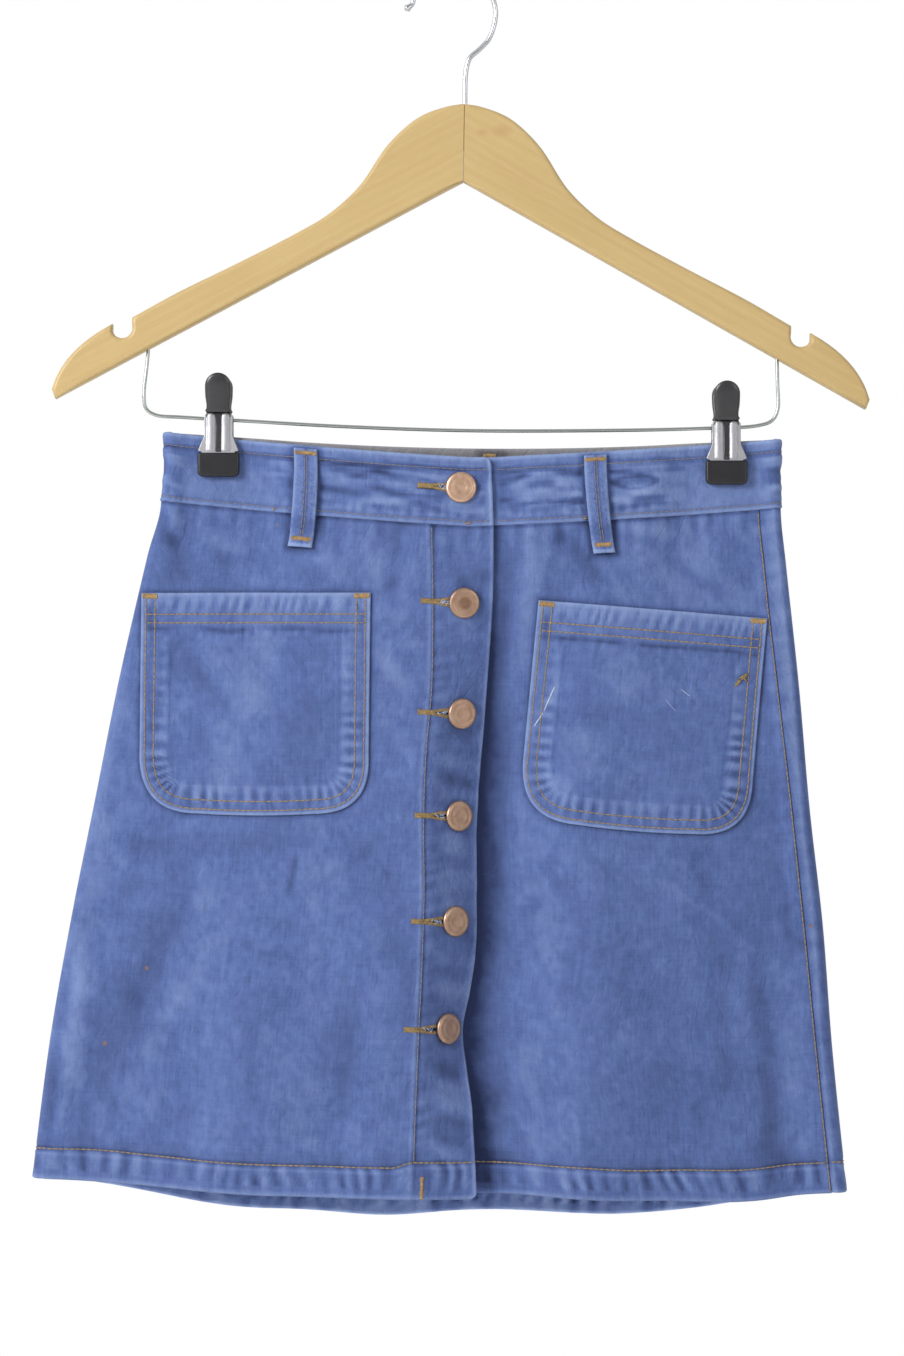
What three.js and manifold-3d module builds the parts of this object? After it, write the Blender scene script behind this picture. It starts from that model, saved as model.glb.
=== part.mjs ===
// A denim skirt, buttoned down the front, held flat by its waistband in the two clips of a wooden hanger.
// Millimetres, +Z up, front towards -Y. The origin is the inner top of the hook, where a rail holds it.
import * as THREE from 'three';
import { mergeVertices } from 'three/addons/utils/BufferGeometryUtils.js';
import Module from 'manifold-3d';

const wasm = await Module();
wasm.setup();

// General sizes
const GAP = 0.3;
const FRONT = -1;
const BACK = 1;

// Cloth thickness. All layers are measured from the outer face of the single denim panel.
const DENIM = 1.2;
const BAND_PROUD = 0.8;
const BAND_THICK = 2.4;
const FACED_THICK = 2.4;
const UNDERLAP_THICK = 2;
const HEM_THICK = 2.4;
const HEM_DEPTH = 17;
const LAYER_GAP = 0.4;
const POCKET_GAP = 0.35;

// Heights. Corners are the folded side edges, dips are how far the middle hangs below them.
const BAND_HEIGHT = 38;
const TOP_CORNER = { left: -252.1, right: -256 };
const HEM_CORNER = { left: -661.8, right: -669.7 };
const TOP_DIP = { [FRONT]: 12.4, [BACK]: 6.4 };
const HEM_DIP = { [FRONT]: 5.6, [BACK]: 18.6 };
const PANEL_LENGTH = 373;
const WAIST_TENT = 0.6;
const HEM_RISE = 0.3;

// Flat cross sections. v is -1 at the waist edge, 0 at the waistband seam and 1 at the hem.
// left and right are the folded edges, fold is their radius, front and back are how far the cloth bows out.
// BOW_REACH is the share of the width over which the wall bows out, TROUGH_REACH that where troughs start.
const BOW_REACH = 0.42;
const TROUGH_REACH = 0.08;
const SECTIONS = [
  { v: -1, left: -158.6, right: 180.0, fold: 4.2, front: 6, back: 7 },
  { v: 0, left: -160.6, right: 180.3, fold: 4.4, front: 8, back: 10 },
  { v: 0.08, left: -168.0, right: 183.1, fold: 4.5, front: 9, back: 12 },
  { v: 0.26, left: -183.4, right: 190.3, fold: 5, front: 11, back: 18 },
  { v: 0.44, left: -196.8, right: 196.2, fold: 5.5, front: 13, back: 24 },
  { v: 0.61, left: -209.5, right: 203.4, fold: 6, front: 15, back: 30 },
  { v: 0.79, left: -221.3, right: 208.6, fold: 6.5, front: 18, back: 35 },
  { v: 1, left: -231.5, right: 216.7, fold: 7, front: 20, back: 40 },
];

// The button opening. seam is the stitch line of the doubled edge, edge is its free edge, valley is the
// depth of the long trough beside it, gape is how far the layers part below the last button.
const OPENING = [
  { v: -1, seam: -11.6, edge: 20.9, valley: 0, gape: 0 },
  { v: 0, seam: -11.6, edge: 22.3, valley: 0.5, gape: 0 },
  { v: 0.11, seam: -11.0, edge: 22.0, valley: 5, gape: 0 },
  { v: 0.24, seam: -11.6, edge: 19.0, valley: 14, gape: 0 },
  { v: 0.335, seam: -14.6, edge: 16.3, valley: 18, gape: 0 },
  { v: 0.44, seam: -16.0, edge: 13.6, valley: 20, gape: 0 },
  { v: 0.546, seam: -15.8, edge: 13.3, valley: 21, gape: 0 },
  { v: 0.627, seam: -16.6, edge: 13.0, valley: 22, gape: 0 },
  { v: 0.69, seam: -17.4, edge: 9.9, valley: 23, gape: 0 },
  { v: 0.75, seam: -18.6, edge: 6.2, valley: 24, gape: 0 },
  { v: 0.81, seam: -19.5, edge: 8.2, valley: 21, gape: 1 },
  { v: 0.87, seam: -20.4, edge: 10.8, valley: 16, gape: 5 },
  { v: 1, seam: -22.0, edge: 13.1, valley: 9, gape: 11 },
];
const VALLEY_SHIFT = 7;
const VALLEY_REACH = 27;
const RAMP = { lead: 4, blend: 0.25 };
const VALLEY_SPAN = 60;
const UNDERLAP_RISE = 26;
const GAPE_RISE = 58;

// Where the side seams lie, measured from the start of the rounded edge
const SIDE_SEAM_BACK = 12;
const SIDE_SEAM_FRONT = [
  { v: -1, inset: 6.3 },
  { v: 0.11, inset: 7.8 },
  { v: 0.26, inset: 7 },
  { v: 0.44, inset: 4.5 },
  { v: 0.61, inset: 4.5 },
  { v: 0.79, inset: 2.5 },
  { v: 1, inset: 2 },
];

// Long soft troughs, with their place at waist and hem, depth at waist, middle and hem, and half width
const FOLDS = [
  { side: FRONT, top: -95, hem: -165, waist: 0, middle: 1.6, low: 3, reach: 20 },
  { side: FRONT, top: -52, hem: -78, waist: 0.4, middle: 2.2, low: 3.5, reach: 20 },
  { side: FRONT, top: 92, hem: 112, waist: 0, middle: 1.4, low: 3.5, reach: 22 },
  { side: FRONT, top: 160, hem: 192, waist: 0, middle: 3, low: 3.5, reach: 10 },
  { side: BACK, top: -88, hem: -128, waist: 0, middle: 4, low: 7, reach: 24 },
  { side: BACK, top: -28, hem: -34, waist: 0.5, middle: 4, low: 8, reach: 20 },
  { side: BACK, top: 60, hem: 66, waist: 0.5, middle: 5, low: 9, reach: 24 },
  { side: BACK, top: 116, hem: 142, waist: 0, middle: 3, low: 6, reach: 18 },
];

// Patch pockets: one pattern, placed by the middle of its mouth
const POCKET = { width: 126, height: 121, corner: 31, thick: 1.2, sag: 2 };
const POCKETS = [
  { name: 'pocket_left', x: -107.9, z: -340.6, turn: 0 },
  { name: 'pocket_right', x: 109.7, z: -349.6, turn: -4.6 },
];

// Belt loops: centre and width at top and foot
const BELT_LOOPS = [
  { name: 'belt_loop_left', side: FRONT, top: -80.6, foot: -83.6, topWidth: 12.6, footWidth: 13 },
  { name: 'belt_loop_right', side: FRONT, top: 77.8, foot: 82.7, topWidth: 12.4, footWidth: 11.8 },
  { name: 'belt_loop_back', side: BACK, top: 21, foot: 21, topWidth: 12.4, footWidth: 12.4 },
];
const LOOP = { start: 2, length: 54, thick: 1.6 };
const LOOP_RISE = [
  { v: 0, rise: 1.3 },
  { v: 0.12, rise: 1.3 },
  { v: 0.4, rise: 2.5 },
  { v: 0.66, rise: 2.3 },
  { v: 0.8, rise: 1.4 },
  { v: 0.9, rise: 0.6 },
  { v: 1, rise: 1.3 },
];

// Buttons down the opening
const BUTTONS = [
  { x: 4.4, v: -0.55 },
  { x: 6.0, v: 0.114 },
  { x: 4.4, v: 0.279 },
  { x: 2.7, v: 0.432 },
  { x: 0.8, v: 0.589 },
  { x: -3.2, v: 0.749 },
];
const BUTTON = { cap: 8.5, height: 3.1, shank: 3, nail: 1.1, rivet: 4.6 };
const BUTTONHOLE = { length: 23.5, slit: 0.7 };

// Hanger
const ARM = { thick: 12, bevel: 2, centre: 6.3, top: -72.2, foot: -114.5, slope: 0.549, tilt: 0.013 };
const ARM_TOP = [
  { out: 8.2, drop: 1.1 },
  { out: 24.7, drop: 7.4 },
  { out: 41.2, drop: 22.2 },
  { out: 57.7, drop: 46.4 },
  { out: 74.2, drop: 61.6 },
  { out: 90.7, drop: 71.7 },
  { out: 123.7, drop: 89.1 },
  { out: 156.7, drop: 105.8 },
  { out: 181.0, drop: 119.6 },
];
const NOTCH = { out: 186.4, drop: 125.2, radius: 5.7 };
const ARM_END = { out: 194.2, drop: 124.6, tipOut: 224.6, tipDrop: 162.4 };
const HOOK = { wire: 1.4, radius: 23.5, stem: 6.6, stemEnd: -96 };
const BAR = { wire: 1.1, seat: -198 };

// Clips, measured from the bar: z is the height from it and out is the distance from the middle plane
const CLIPS = [
  { name: 'clip_left', x: -128.7, z: -245.1 },
  { name: 'clip_right', x: 150.1, z: -249.4 },
];
const CLIP = { top: 25, capFoot: 3.8, padTop: -18.4, padFoot: -31.8, sheet: 1, padWidth: 25, padThick: 4.8 };
const CLIP_WIDTH = { cap: 14.4, plate: 15.6, flare: 22.6, tongue: 18 };
const CLIP_PROFILE = [
  { z: 21, out: 8.6 },
  { z: 4, out: 4.8 },
  { z: -4, out: 4.8 },
  { z: -14, out: 6.3 },
  { z: -32, out: 6.3 },
];
const RIB = { width: 5, rise: 0.9, centre: 4, top: 3.4, foot: -17.6 };
const SPRING = { inner: 1.75, outer: 3.9, length: 8 };
const PINCH = { half: 1.8, flat: 15.5, outside: 26.4, inside: 46, fade: 0.17 };

const denim = (shade) => new THREE.MeshStandardMaterial({ color: shade, roughness: 0.9, metalness: 0 });
const copper = new THREE.MeshStandardMaterial({ color: 0xb8845f, roughness: 0.4, metalness: 0.9 });
const wood = new THREE.MeshStandardMaterial({ color: 0xd2b07a, roughness: 0.5, metalness: 0 });
const chrome = new THREE.MeshStandardMaterial({ color: 0xd5d7da, roughness: 0.2, metalness: 1 });
const blackPlastic = new THREE.MeshStandardMaterial({ color: 0x1b1b1e, roughness: 0.35, metalness: 0 });
const rubber = new THREE.MeshStandardMaterial({ color: 0x232326, roughness: 0.7, metalness: 0 });

const skirt = new THREE.Group();

function add(name, geometry, material) {
  const mesh = new THREE.Mesh(geometry, material.clone());
  mesh.name = name;
  skirt.add(mesh);
  return mesh;
}

function toSolid(geometry) {
  const plain = geometry.clone();
  plain.deleteAttribute('normal');
  plain.deleteAttribute('uv');
  const merged = mergeVertices(plain, 1e-4);
  const vertProperties = new Float32Array(merged.attributes.position.array);
  const triVerts = new Uint32Array(merged.index.array);
  return new wasm.Manifold(new wasm.Mesh({ numProp: 3, vertProperties, triVerts }));
}

function toGeometry(solid) {
  const mesh = solid.getMesh();
  const geometry = new THREE.BufferGeometry();
  geometry.setAttribute('position', new THREE.BufferAttribute(new Float32Array(mesh.vertProperties), 3));
  geometry.setIndex(new THREE.BufferAttribute(new Uint32Array(mesh.triVerts), 1));
  return geometry;
}

const mix = (a, b, s) => a + (b - a) * s;
const clamp = (s) => Math.min(Math.max(s, 0), 1);
const smooth = (s) => clamp(s) ** 2 * (3 - 2 * clamp(s));

// Reads one column of a table as a smooth curve of v
function read(rows, column, v) {
  const last = rows.length - 1;
  const at = Math.min(Math.max(v, rows[0].v), rows[last].v);
  let i = 0;
  while (i < last - 1 && rows[i + 1].v < at) i += 1;
  const slope = (j) => {
    const before = rows[Math.max(j - 1, 0)];
    const after = rows[Math.min(j + 1, last)];
    return (after[column] - before[column]) / (after.v - before.v);
  };
  const span = rows[i + 1].v - rows[i].v;
  const s = (at - rows[i].v) / span;
  const step = rows[i + 1][column] - rows[i][column];
  const bend = s * (1 - s) * ((1 - s) * (slope(i) * span - step) - s * (slope(i + 1) * span - step));
  return rows[i][column] + step * s + bend;
}

// How far the clips hold the two walls together at a place on the waistband, from 0 to 1
function pinched(x, v) {
  let held = 0;
  for (const clip of CLIPS) {
    const away = Math.abs(x - clip.x);
    const reach = Math.abs(x) > Math.abs(clip.x) ? PINCH.outside : PINCH.inside;
    held = Math.max(held, 1 - smooth((away - PINCH.flat) / (reach - PINCH.flat)));
  }
  return held * (1 - smooth(v / PINCH.fade));
}

function troughs(side, x, v) {
  let depth = 0;
  for (const fold of FOLDS.filter((one) => one.side === side)) {
    const centre = mix(fold.top, fold.hem, v);
    const low = v < 0.5 ? mix(fold.waist, fold.middle, clamp(v * 2)) : mix(fold.middle, fold.low, v * 2 - 1);
    depth += low * Math.exp(-(((x - centre) / fold.reach) ** 2) / 2);
  }
  return side === FRONT ? depth + valley(x, v) : depth;
}

// The doubled edge slopes down flat into the valley, and the right front rises softly out of it
function valley(x, v) {
  const centre = read(OPENING, 'edge', v) + VALLEY_SHIFT;
  const depth = read(OPENING, 'valley', v);
  if (x > centre) return depth * Math.exp(-(((x - centre) / VALLEY_REACH) ** 2) / 2);
  const start = read(OPENING, 'seam', v) - RAMP.lead;
  return depth * ramp(clamp((x - start) / (centre - start)));
}

function ramp(s) {
  const { blend } = RAMP;
  const curve = 1 / (2 * blend * (1 - blend));
  if (s < blend) return s * s * curve;
  if (s > 1 - blend) return 1 - (1 - s) ** 2 * curve;
  return (s - blend / 2) / (1 - blend);
}

// A point of the outer face of the panel on the front or back wall
function wallPoint(side, x, v) {
  const left = read(SECTIONS, 'left', v);
  const right = read(SECTIONS, 'right', v);
  const fold = read(SECTIONS, 'fold', v);
  const u = (x - left) / (right - left);
  const bow = read(SECTIONS, side === FRONT ? 'front' : 'back', v);
  const open = fold + bow * smooth(u / BOW_REACH) * smooth((1 - u) / BOW_REACH) - troughs(side, x, v) * ends(u);
  const half = mix(open, PINCH.half, pinched(x, v));
  return new THREE.Vector3(x, side * half, height(side, u, v));
}

// Fades the troughs out at the folded edges
function ends(u) {
  return smooth(u / TROUGH_REACH) * smooth((1 - u) / TROUGH_REACH);
}

function height(side, u, v) {
  const arc = Math.sin(Math.PI * clamp(u));
  const dip = side === FRONT ? mix(arc, 1 - Math.abs(2 * clamp(u) - 1), WAIST_TENT) : arc;
  const top = mix(TOP_CORNER.left, TOP_CORNER.right, u) - TOP_DIP[side] * dip;
  if (v < 0) return top - BAND_HEIGHT * (v + 1);
  const swell = smooth(u / HEM_RISE) * smooth((1 - u) / HEM_RISE);
  const hem = mix(HEM_CORNER.left, HEM_CORNER.right, u) - HEM_DIP[side] * swell;
  return mix(top - BAND_HEIGHT, hem, v);
}

// The way round the skirt, from the left side seam, over the left edge, across the front, over the right
// edge and across the back. Each span has its number of steps, and t counts the steps.
const SPANS = [
  { name: 'backLeft', steps: 1 },
  { name: 'foldLeft', steps: 6 },
  { name: 'frontLeft', steps: 10 },
  { name: 'faced', steps: 4 },
  { name: 'valley', steps: 6 },
  { name: 'frontRight', steps: 8 },
  { name: 'seamRight', steps: 1 },
  { name: 'foldRight', steps: 6 },
  { name: 'back', steps: 20 },
];
const START = {};
let ROUND = 0;
for (const span of SPANS) {
  START[span.name] = ROUND;
  ROUND += span.steps;
}

function placeOnLoop(t, v) {
  const at = ((t % ROUND) + ROUND) % ROUND;
  const span = SPANS.findLast((one) => START[one.name] <= at);
  const s = (at - START[span.name]) / span.steps;
  const fold = read(SECTIONS, 'fold', v);
  const left = read(SECTIONS, 'left', v) + fold;
  const right = read(SECTIONS, 'right', v) - fold;
  const seam = read(OPENING, 'seam', v);
  const edge = read(OPENING, 'edge', v);
  const sideSeam = right - read(SIDE_SEAM_FRONT, 'inset', v);
  const walls = {
    backLeft: [BACK, left + SIDE_SEAM_BACK, left],
    frontLeft: [FRONT, left, seam],
    faced: [FRONT, seam, edge],
    valley: [FRONT, edge, edge + VALLEY_SPAN],
    frontRight: [FRONT, edge + VALLEY_SPAN, sideSeam],
    seamRight: [FRONT, sideSeam, right],
    back: [BACK, right, left + SIDE_SEAM_BACK],
  };
  if (span.name in walls) {
    const [side, from, to] = walls[span.name];
    return wallPoint(side, mix(from, to, s), v);
  }
  const onLeft = span.name === 'foldLeft';
  const angle = onLeft ? Math.PI * (0.5 - s) : Math.PI * (s - 0.5);
  const x = onLeft ? left - fold * Math.cos(angle) : right + fold * Math.cos(angle);
  const edgeU = onLeft ? 0 : 1;
  return new THREE.Vector3(x, fold * Math.sin(angle), height(FRONT, edgeU, v));
}

// Outward direction of the cloth at a place
function normalAt(point, t, v) {
  const dt = 1e-3;
  const dv = 1e-3;
  const across = point(t + dt, v).sub(point(t - dt, v));
  const vHigh = Math.min(v + dv, 1);
  const vLow = Math.max(v - dv, -1);
  const down = point(t, vHigh).sub(point(t, vLow));
  return down.cross(across).normalize();
}

// The place on the loop a few tenths of a millimetre along, so that neighbours keep their seam gap
function inset(t, v, distance) {
  const dt = 1e-2 * Math.sign(distance);
  const speed = placeOnLoop(t + dt, v).distanceTo(placeOnLoop(t, v)) / Math.abs(dt);
  return t + distance / speed;
}

// Closes a grid of outer points and a grid of inner points into one wall
function wallFromGrids(outer, inner) {
  const columns = outer.length;
  const rows = outer[0].length;
  const points = [...outer.flat(), ...inner.flat()];
  const index = (layer, i, j) => layer * columns * rows + i * rows + j;
  const faces = [];
  const quad = (a, b, c, d) => faces.push(a, b, c, a, c, d);
  for (let i = 0; i < columns - 1; i += 1) {
    for (let j = 0; j < rows - 1; j += 1) {
      quad(index(0, i, j), index(0, i, j + 1), index(0, i + 1, j + 1), index(0, i + 1, j));
      quad(index(1, i, j), index(1, i + 1, j), index(1, i + 1, j + 1), index(1, i, j + 1));
    }
    quad(index(0, i, 0), index(0, i + 1, 0), index(1, i + 1, 0), index(1, i, 0));
    quad(index(0, i, rows - 1), index(1, i, rows - 1), index(1, i + 1, rows - 1), index(0, i + 1, rows - 1));
  }
  for (let j = 0; j < rows - 1; j += 1) {
    quad(index(0, 0, j), index(1, 0, j), index(1, 0, j + 1), index(0, 0, j + 1));
    const end = columns - 1;
    quad(index(0, end, j), index(0, end, j + 1), index(1, end, j + 1), index(1, end, j));
  }
  const geometry = new THREE.BufferGeometry();
  const positions = new Float32Array(points.flatMap((point) => point.toArray()));
  geometry.setAttribute('position', new THREE.BufferAttribute(positions, 3));
  geometry.setIndex(faces);
  return geometry;
}

// A piece of cloth between two places on the loop, with offsets of its outer and inner face
function clothPiece({ from, to, rows, outer, inner, shrink = true }) {
  const steps = Math.round(to - from);
  const grids = [[], []];
  for (let i = 0; i <= steps; i += 1) {
    const columns = [[], []];
    for (const v of rows) {
      let t = from + i;
      if (shrink && i === 0) t = inset(t, v, GAP / 2);
      if (shrink && i === steps) t = inset(t, v, -GAP / 2);
      const point = placeOnLoop(t, v);
      const normal = normalAt(placeOnLoop, t, v);
      columns[0].push(point.clone().addScaledVector(normal, outer(from + i, v)));
      columns[1].push(point.clone().addScaledVector(normal, inner(from + i, v)));
    }
    grids[0].push(columns[0]);
    grids[1].push(columns[1]);
  }
  return wallFromGrids(grids[0], grids[1]);
}

// Rows of the panels, with one on the hem stitch line
const PANEL_ROWS = 17;
const hemLine = 1 - HEM_DEPTH / PANEL_LENGTH;
const seamV = GAP / 2 / PANEL_LENGTH;
const panelRows = [seamV];
for (let j = 1; j <= PANEL_ROWS; j += 1) panelRows.push((hemLine * j) / PANEL_ROWS);
panelRows.push(1);
const bandRows = [-1, -2 / 3, -1 / 3, -GAP / 2 / BAND_HEIGHT];

const hemInner = (v) => (v > hemLine - 1e-6 ? -HEM_THICK : -DENIM);

// The left front is folded double along the opening
const leftInner = (t, v) => Math.min(hemInner(v), t > START.faced + 0.5 ? -FACED_THICK : -DENIM);

// The right front runs under the left one and comes up to its level beside it
function underlap(t, v, drop) {
  const beside = t - START.valley;
  const step = VALLEY_SPAN / SPANS.find((one) => one.name === 'valley').steps;
  const away = Math.max(beside * step, 0);
  const layer = drop * (1 - smooth(away / UNDERLAP_RISE));
  return -layer - read(OPENING, 'gape', v) * (1 - smooth(away / GAPE_RISE));
}
const rightOuter = (t, v) => underlap(t, v, FACED_THICK + LAYER_GAP);
const rightThick = (t, v) => Math.max(t < START.valley + 0.5 ? UNDERLAP_THICK : DENIM, -hemInner(v));
const rightInner = (t, v) => rightOuter(t, v) - rightThick(t, v);

// The waistband is one strip right round, and its under end lies below the buttoned end
const bandOuter = (t) => BAND_PROUD + (t < ROUND ? underlap(t, -1, BAND_THICK + LAYER_GAP) : 0);
const bandInner = (t) => bandOuter(t) - BAND_THICK;

// A place on the flat facets between the rows and columns of the cloth, which the buttons sit on
function facetPlace(t, v) {
  const rows = v < 0 ? bandRows : panelRows;
  const j = rows.findIndex((row) => row > v);
  const s = (v - rows[j - 1]) / (rows[j] - rows[j - 1]);
  const column = Math.floor(t);
  const near = placeOnLoop(column, rows[j - 1]).lerp(placeOnLoop(column, rows[j]), s);
  const far = placeOnLoop(column + 1, rows[j - 1]).lerp(placeOnLoop(column + 1, rows[j]), s);
  return near.lerp(far, t - column);
}

function buttonFrame(button) {
  const seam = read(OPENING, 'seam', button.v);
  const edge = read(OPENING, 'edge', button.v);
  const steps = START.valley - START.faced;
  const t = START.faced + (steps * (button.x - seam)) / (edge - seam);
  const out = normalAt(facetPlace, t, button.v);
  const across = facetPlace(t + 0.1, button.v).sub(facetPlace(t - 0.1, button.v));
  across.addScaledVector(out, -across.dot(out)).normalize();
  const up = out.clone().cross(across);
  const level = button.v < 0 ? BAND_PROUD : 0;
  const origin = facetPlace(t, button.v).addScaledVector(out, level);
  return new THREE.Matrix4().makeBasis(across, up, out).setPosition(origin);
}

// A plain round rod along the local Z axis, from one height to another
function rodAlongZ(radius, from, to, sides = 12) {
  const geometry = new THREE.CylinderGeometry(radius, radius, to - from, sides);
  return geometry.rotateX(Math.PI / 2).translate(0, 0, (from + to) / 2);
}

// Buttonhole: a round eye for the shank and a slit to the left, through the top layer only
function cutButtonhole(solid, frame, depth) {
  const eye = rodAlongZ(BUTTON.shank + GAP, -depth, 4).applyMatrix4(frame);
  const slit = new THREE.BoxGeometry(BUTTONHOLE.length, BUTTONHOLE.slit, depth + 4);
  slit.translate(-BUTTONHOLE.length / 2, 0, (4 - depth) / 2).applyMatrix4(frame);
  return solid.subtract(toSolid(eye)).subtract(toSolid(slit));
}

function cutNailHole(solid, frame, from, to) {
  return solid.subtract(toSolid(rodAlongZ(BUTTON.nail + GAP, from, to).applyMatrix4(frame)));
}

function buttonGeometry(stack) {
  const { cap, height: top, shank, nail, rivet } = BUTTON;
  const underCap = 0.45;
  const profile = [
    [0, -stack - 1.2],
    [rivet - 0.4, -stack - 1.2],
    [rivet, -stack - 0.8],
    [rivet - 0.4, -stack - GAP],
    [nail, -stack - GAP],
    [nail, -FACED_THICK - 0.1],
    [shank, -FACED_THICK - 0.1],
    [shank, underCap],
    [cap - 0.7, underCap],
    [cap, underCap + 0.8],
    [cap - 0.3, top - 0.7],
    [cap - 1.7, top],
    [cap - 3, top - 0.5],
    [0, top - 0.6],
  ];
  const geometry = new THREE.LatheGeometry(profile.map(([r, z]) => new THREE.Vector2(r, z)), 12);
  return geometry.rotateX(Math.PI / 2);
}

function buildPanels() {
  const frames = BUTTONS.map(buttonFrame);
  const [waistFrame, ...frontFrames] = frames;
  const leftPiece = { from: 0, to: START.valley, rows: panelRows, outer: () => 0, inner: leftInner };
  let left = toSolid(clothPiece(leftPiece));
  const rightPiece = {
    from: START.faced,
    to: START.seamRight,
    rows: panelRows,
    outer: rightOuter,
    inner: rightInner,
  };
  let right = toSolid(clothPiece(rightPiece));
  for (const frame of frontFrames) {
    left = cutButtonhole(left, frame, FACED_THICK + 2);
    right = cutNailHole(right, frame, -12, 0);
  }
  const backPiece = {
    from: START.seamRight,
    to: ROUND,
    rows: panelRows,
    outer: () => 0,
    inner: (t, v) => hemInner(v),
  };
  const bandPiece = {
    from: START.faced,
    to: ROUND + START.valley,
    rows: bandRows,
    outer: bandOuter,
    inner: bandInner,
    shrink: false,
  };
  let band = toSolid(clothPiece(bandPiece));
  band = cutButtonhole(band, waistFrame, BAND_THICK + LAYER_GAP / 2);
  band = cutNailHole(band, waistFrame, -12, 0);
  add('skirt_front_left', toGeometry(left), denim(0x5f78b4));
  add('skirt_front_right', toGeometry(right), denim(0x566fab));
  add('skirt_back', clothPiece(backPiece), denim(0x566cab));
  add('waistband', toGeometry(band), denim(0x6c82bb));
  frames.forEach((frame, i) => {
    const stack = FACED_THICK + LAYER_GAP + (i === 0 ? BAND_THICK : UNDERLAP_THICK);
    add(`button_${i + 1}`, buttonGeometry(stack).applyMatrix4(frame), copper);
  });
}

// An outline in X and Z, made solid from one Y to another
function facing(shape, near, far, curveSegments = 6) {
  const geometry = new THREE.ExtrudeGeometry(shape, { depth: far - near, bevelEnabled: false, curveSegments });
  return geometry.rotateX(Math.PI / 2).translate(0, far, 0);
}

function pocketShape(pocket) {
  const { width, height: tall, corner, sag } = POCKET;
  const turn = THREE.MathUtils.degToRad(pocket.turn);
  const place = (x, z) => [
    pocket.x + x * Math.cos(turn) - z * Math.sin(turn),
    pocket.z + x * Math.sin(turn) + z * Math.cos(turn),
  ];
  const half = width / 2;
  const shape = new THREE.Shape();
  shape.moveTo(...place(-half, 0));
  shape.lineTo(...place(-half - 1, corner - tall));
  shape.quadraticCurveTo(...place(-half, -tall), ...place(corner - half, -tall));
  shape.quadraticCurveTo(...place(0, -tall - sag), ...place(half - corner, -tall));
  shape.quadraticCurveTo(...place(half, -tall), ...place(half - 1, corner - tall));
  shape.lineTo(...place(half, 0));
  return shape;
}

// A pocket is made from the panel's own points, moved out, and cut to the outline of its pattern
function buildPockets() {
  const rows = panelRows.filter((v) => v < 0.62);
  const reach = {
    pocket_left: { from: START.foldLeft + 3, to: START.faced, level: () => 0 },
    pocket_right: { from: START.valley, to: START.seamRight, level: rightOuter },
  };
  for (const pocket of POCKETS) {
    const { from, to, level } = reach[pocket.name];
    const slab = clothPiece({
      from,
      to,
      rows,
      outer: (t, v) => level(t, v) + POCKET_GAP + POCKET.thick,
      inner: (t, v) => level(t, v) + POCKET_GAP,
      shrink: false,
    });
    const outline = toSolid(facing(pocketShape(pocket), -60, -0.5));
    add(pocket.name, toGeometry(toSolid(slab).intersect(outline)), denim(0x6780bc));
  }
}

function buildBeltLoops() {
  const alongSteps = 9;
  for (const loop of BELT_LOOPS) {
    const grids = [[], []];
    for (let i = 0; i <= 2; i += 1) {
      const columns = [[], []];
      for (let j = 0; j <= alongSteps; j += 1) {
        const s = j / alongSteps;
        const below = LOOP.start + LOOP.length * s;
        const v = below < BAND_HEIGHT ? below / BAND_HEIGHT - 1 : (below - BAND_HEIGHT) / PANEL_LENGTH;
        const half = mix(loop.topWidth, loop.footWidth, s) / 2;
        const x = mix(loop.top, loop.foot, s) + (i - 1) * half;
        const onWall = (wallX, wallV) => wallPoint(loop.side, wallX, wallV);
        const normal = normalAt(onWall, x, v).multiplyScalar(-loop.side);
        const point = onWall(x, v);
        const rise = read(LOOP_RISE, 'rise', s);
        columns[0].push(point.clone().addScaledVector(normal, rise + LOOP.thick));
        columns[1].push(point.clone().addScaledVector(normal, rise));
      }
      grids[0].push(columns[0]);
      grids[1].push(columns[1]);
    }
    if (loop.side === BACK) grids.forEach((grid) => grid.reverse());
    add(loop.name, wallFromGrids(grids[0], grids[1]), denim(0x7086bd));
  }
}

function armShape(hand) {
  const at = (out, drop) => new THREE.Vector2(hand * out, -drop);
  const centre = GAP / 2;
  const shape = new THREE.Shape();
  shape.moveTo(hand * centre, 0);
  shape.splineThru(ARM_TOP.map((row) => at(row.out, row.drop)));
  for (let k = 1; k < 6; k += 1) {
    const angle = THREE.MathUtils.degToRad(mix(135, 395, k / 6));
    const x = NOTCH.out + NOTCH.radius * Math.cos(angle);
    const z = -NOTCH.drop + NOTCH.radius * Math.sin(angle);
    shape.lineTo(hand * x, z);
  }
  shape.lineTo(hand * ARM_END.out, -ARM_END.drop);
  const { tipOut, tipDrop } = ARM_END;
  shape.quadraticCurveTo(hand * (tipOut - 6), -(tipDrop - 24), hand * tipOut, -(tipDrop - 3));
  shape.lineTo(hand * (tipOut - 2), ARM.foot - ARM.top - ARM.slope * (tipOut - 2));
  shape.lineTo(hand * centre, ARM.foot - ARM.top - ARM.slope * centre);
  return shape;
}

function rodBetween(a, b, radius) {
  const along = b.clone().sub(a);
  const geometry = rodAlongZ(radius, 0, along.length(), 12);
  const turn = new THREE.Quaternion().setFromUnitVectors(new THREE.Vector3(0, 0, 1), along.normalize());
  return toSolid(geometry.applyQuaternion(turn).translate(a.x, a.y, a.z));
}

function wireGeometry(curve, radius, steps) {
  const section = new THREE.Shape().absarc(0, 0, radius, 0, Math.PI * 2);
  return new THREE.ExtrudeGeometry(section, { extrudePath: curve, steps, curveSegments: 4 });
}

const inPlane = (points) => points.map(([x, z]) => new THREE.Vector3(x, 0, z));

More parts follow.
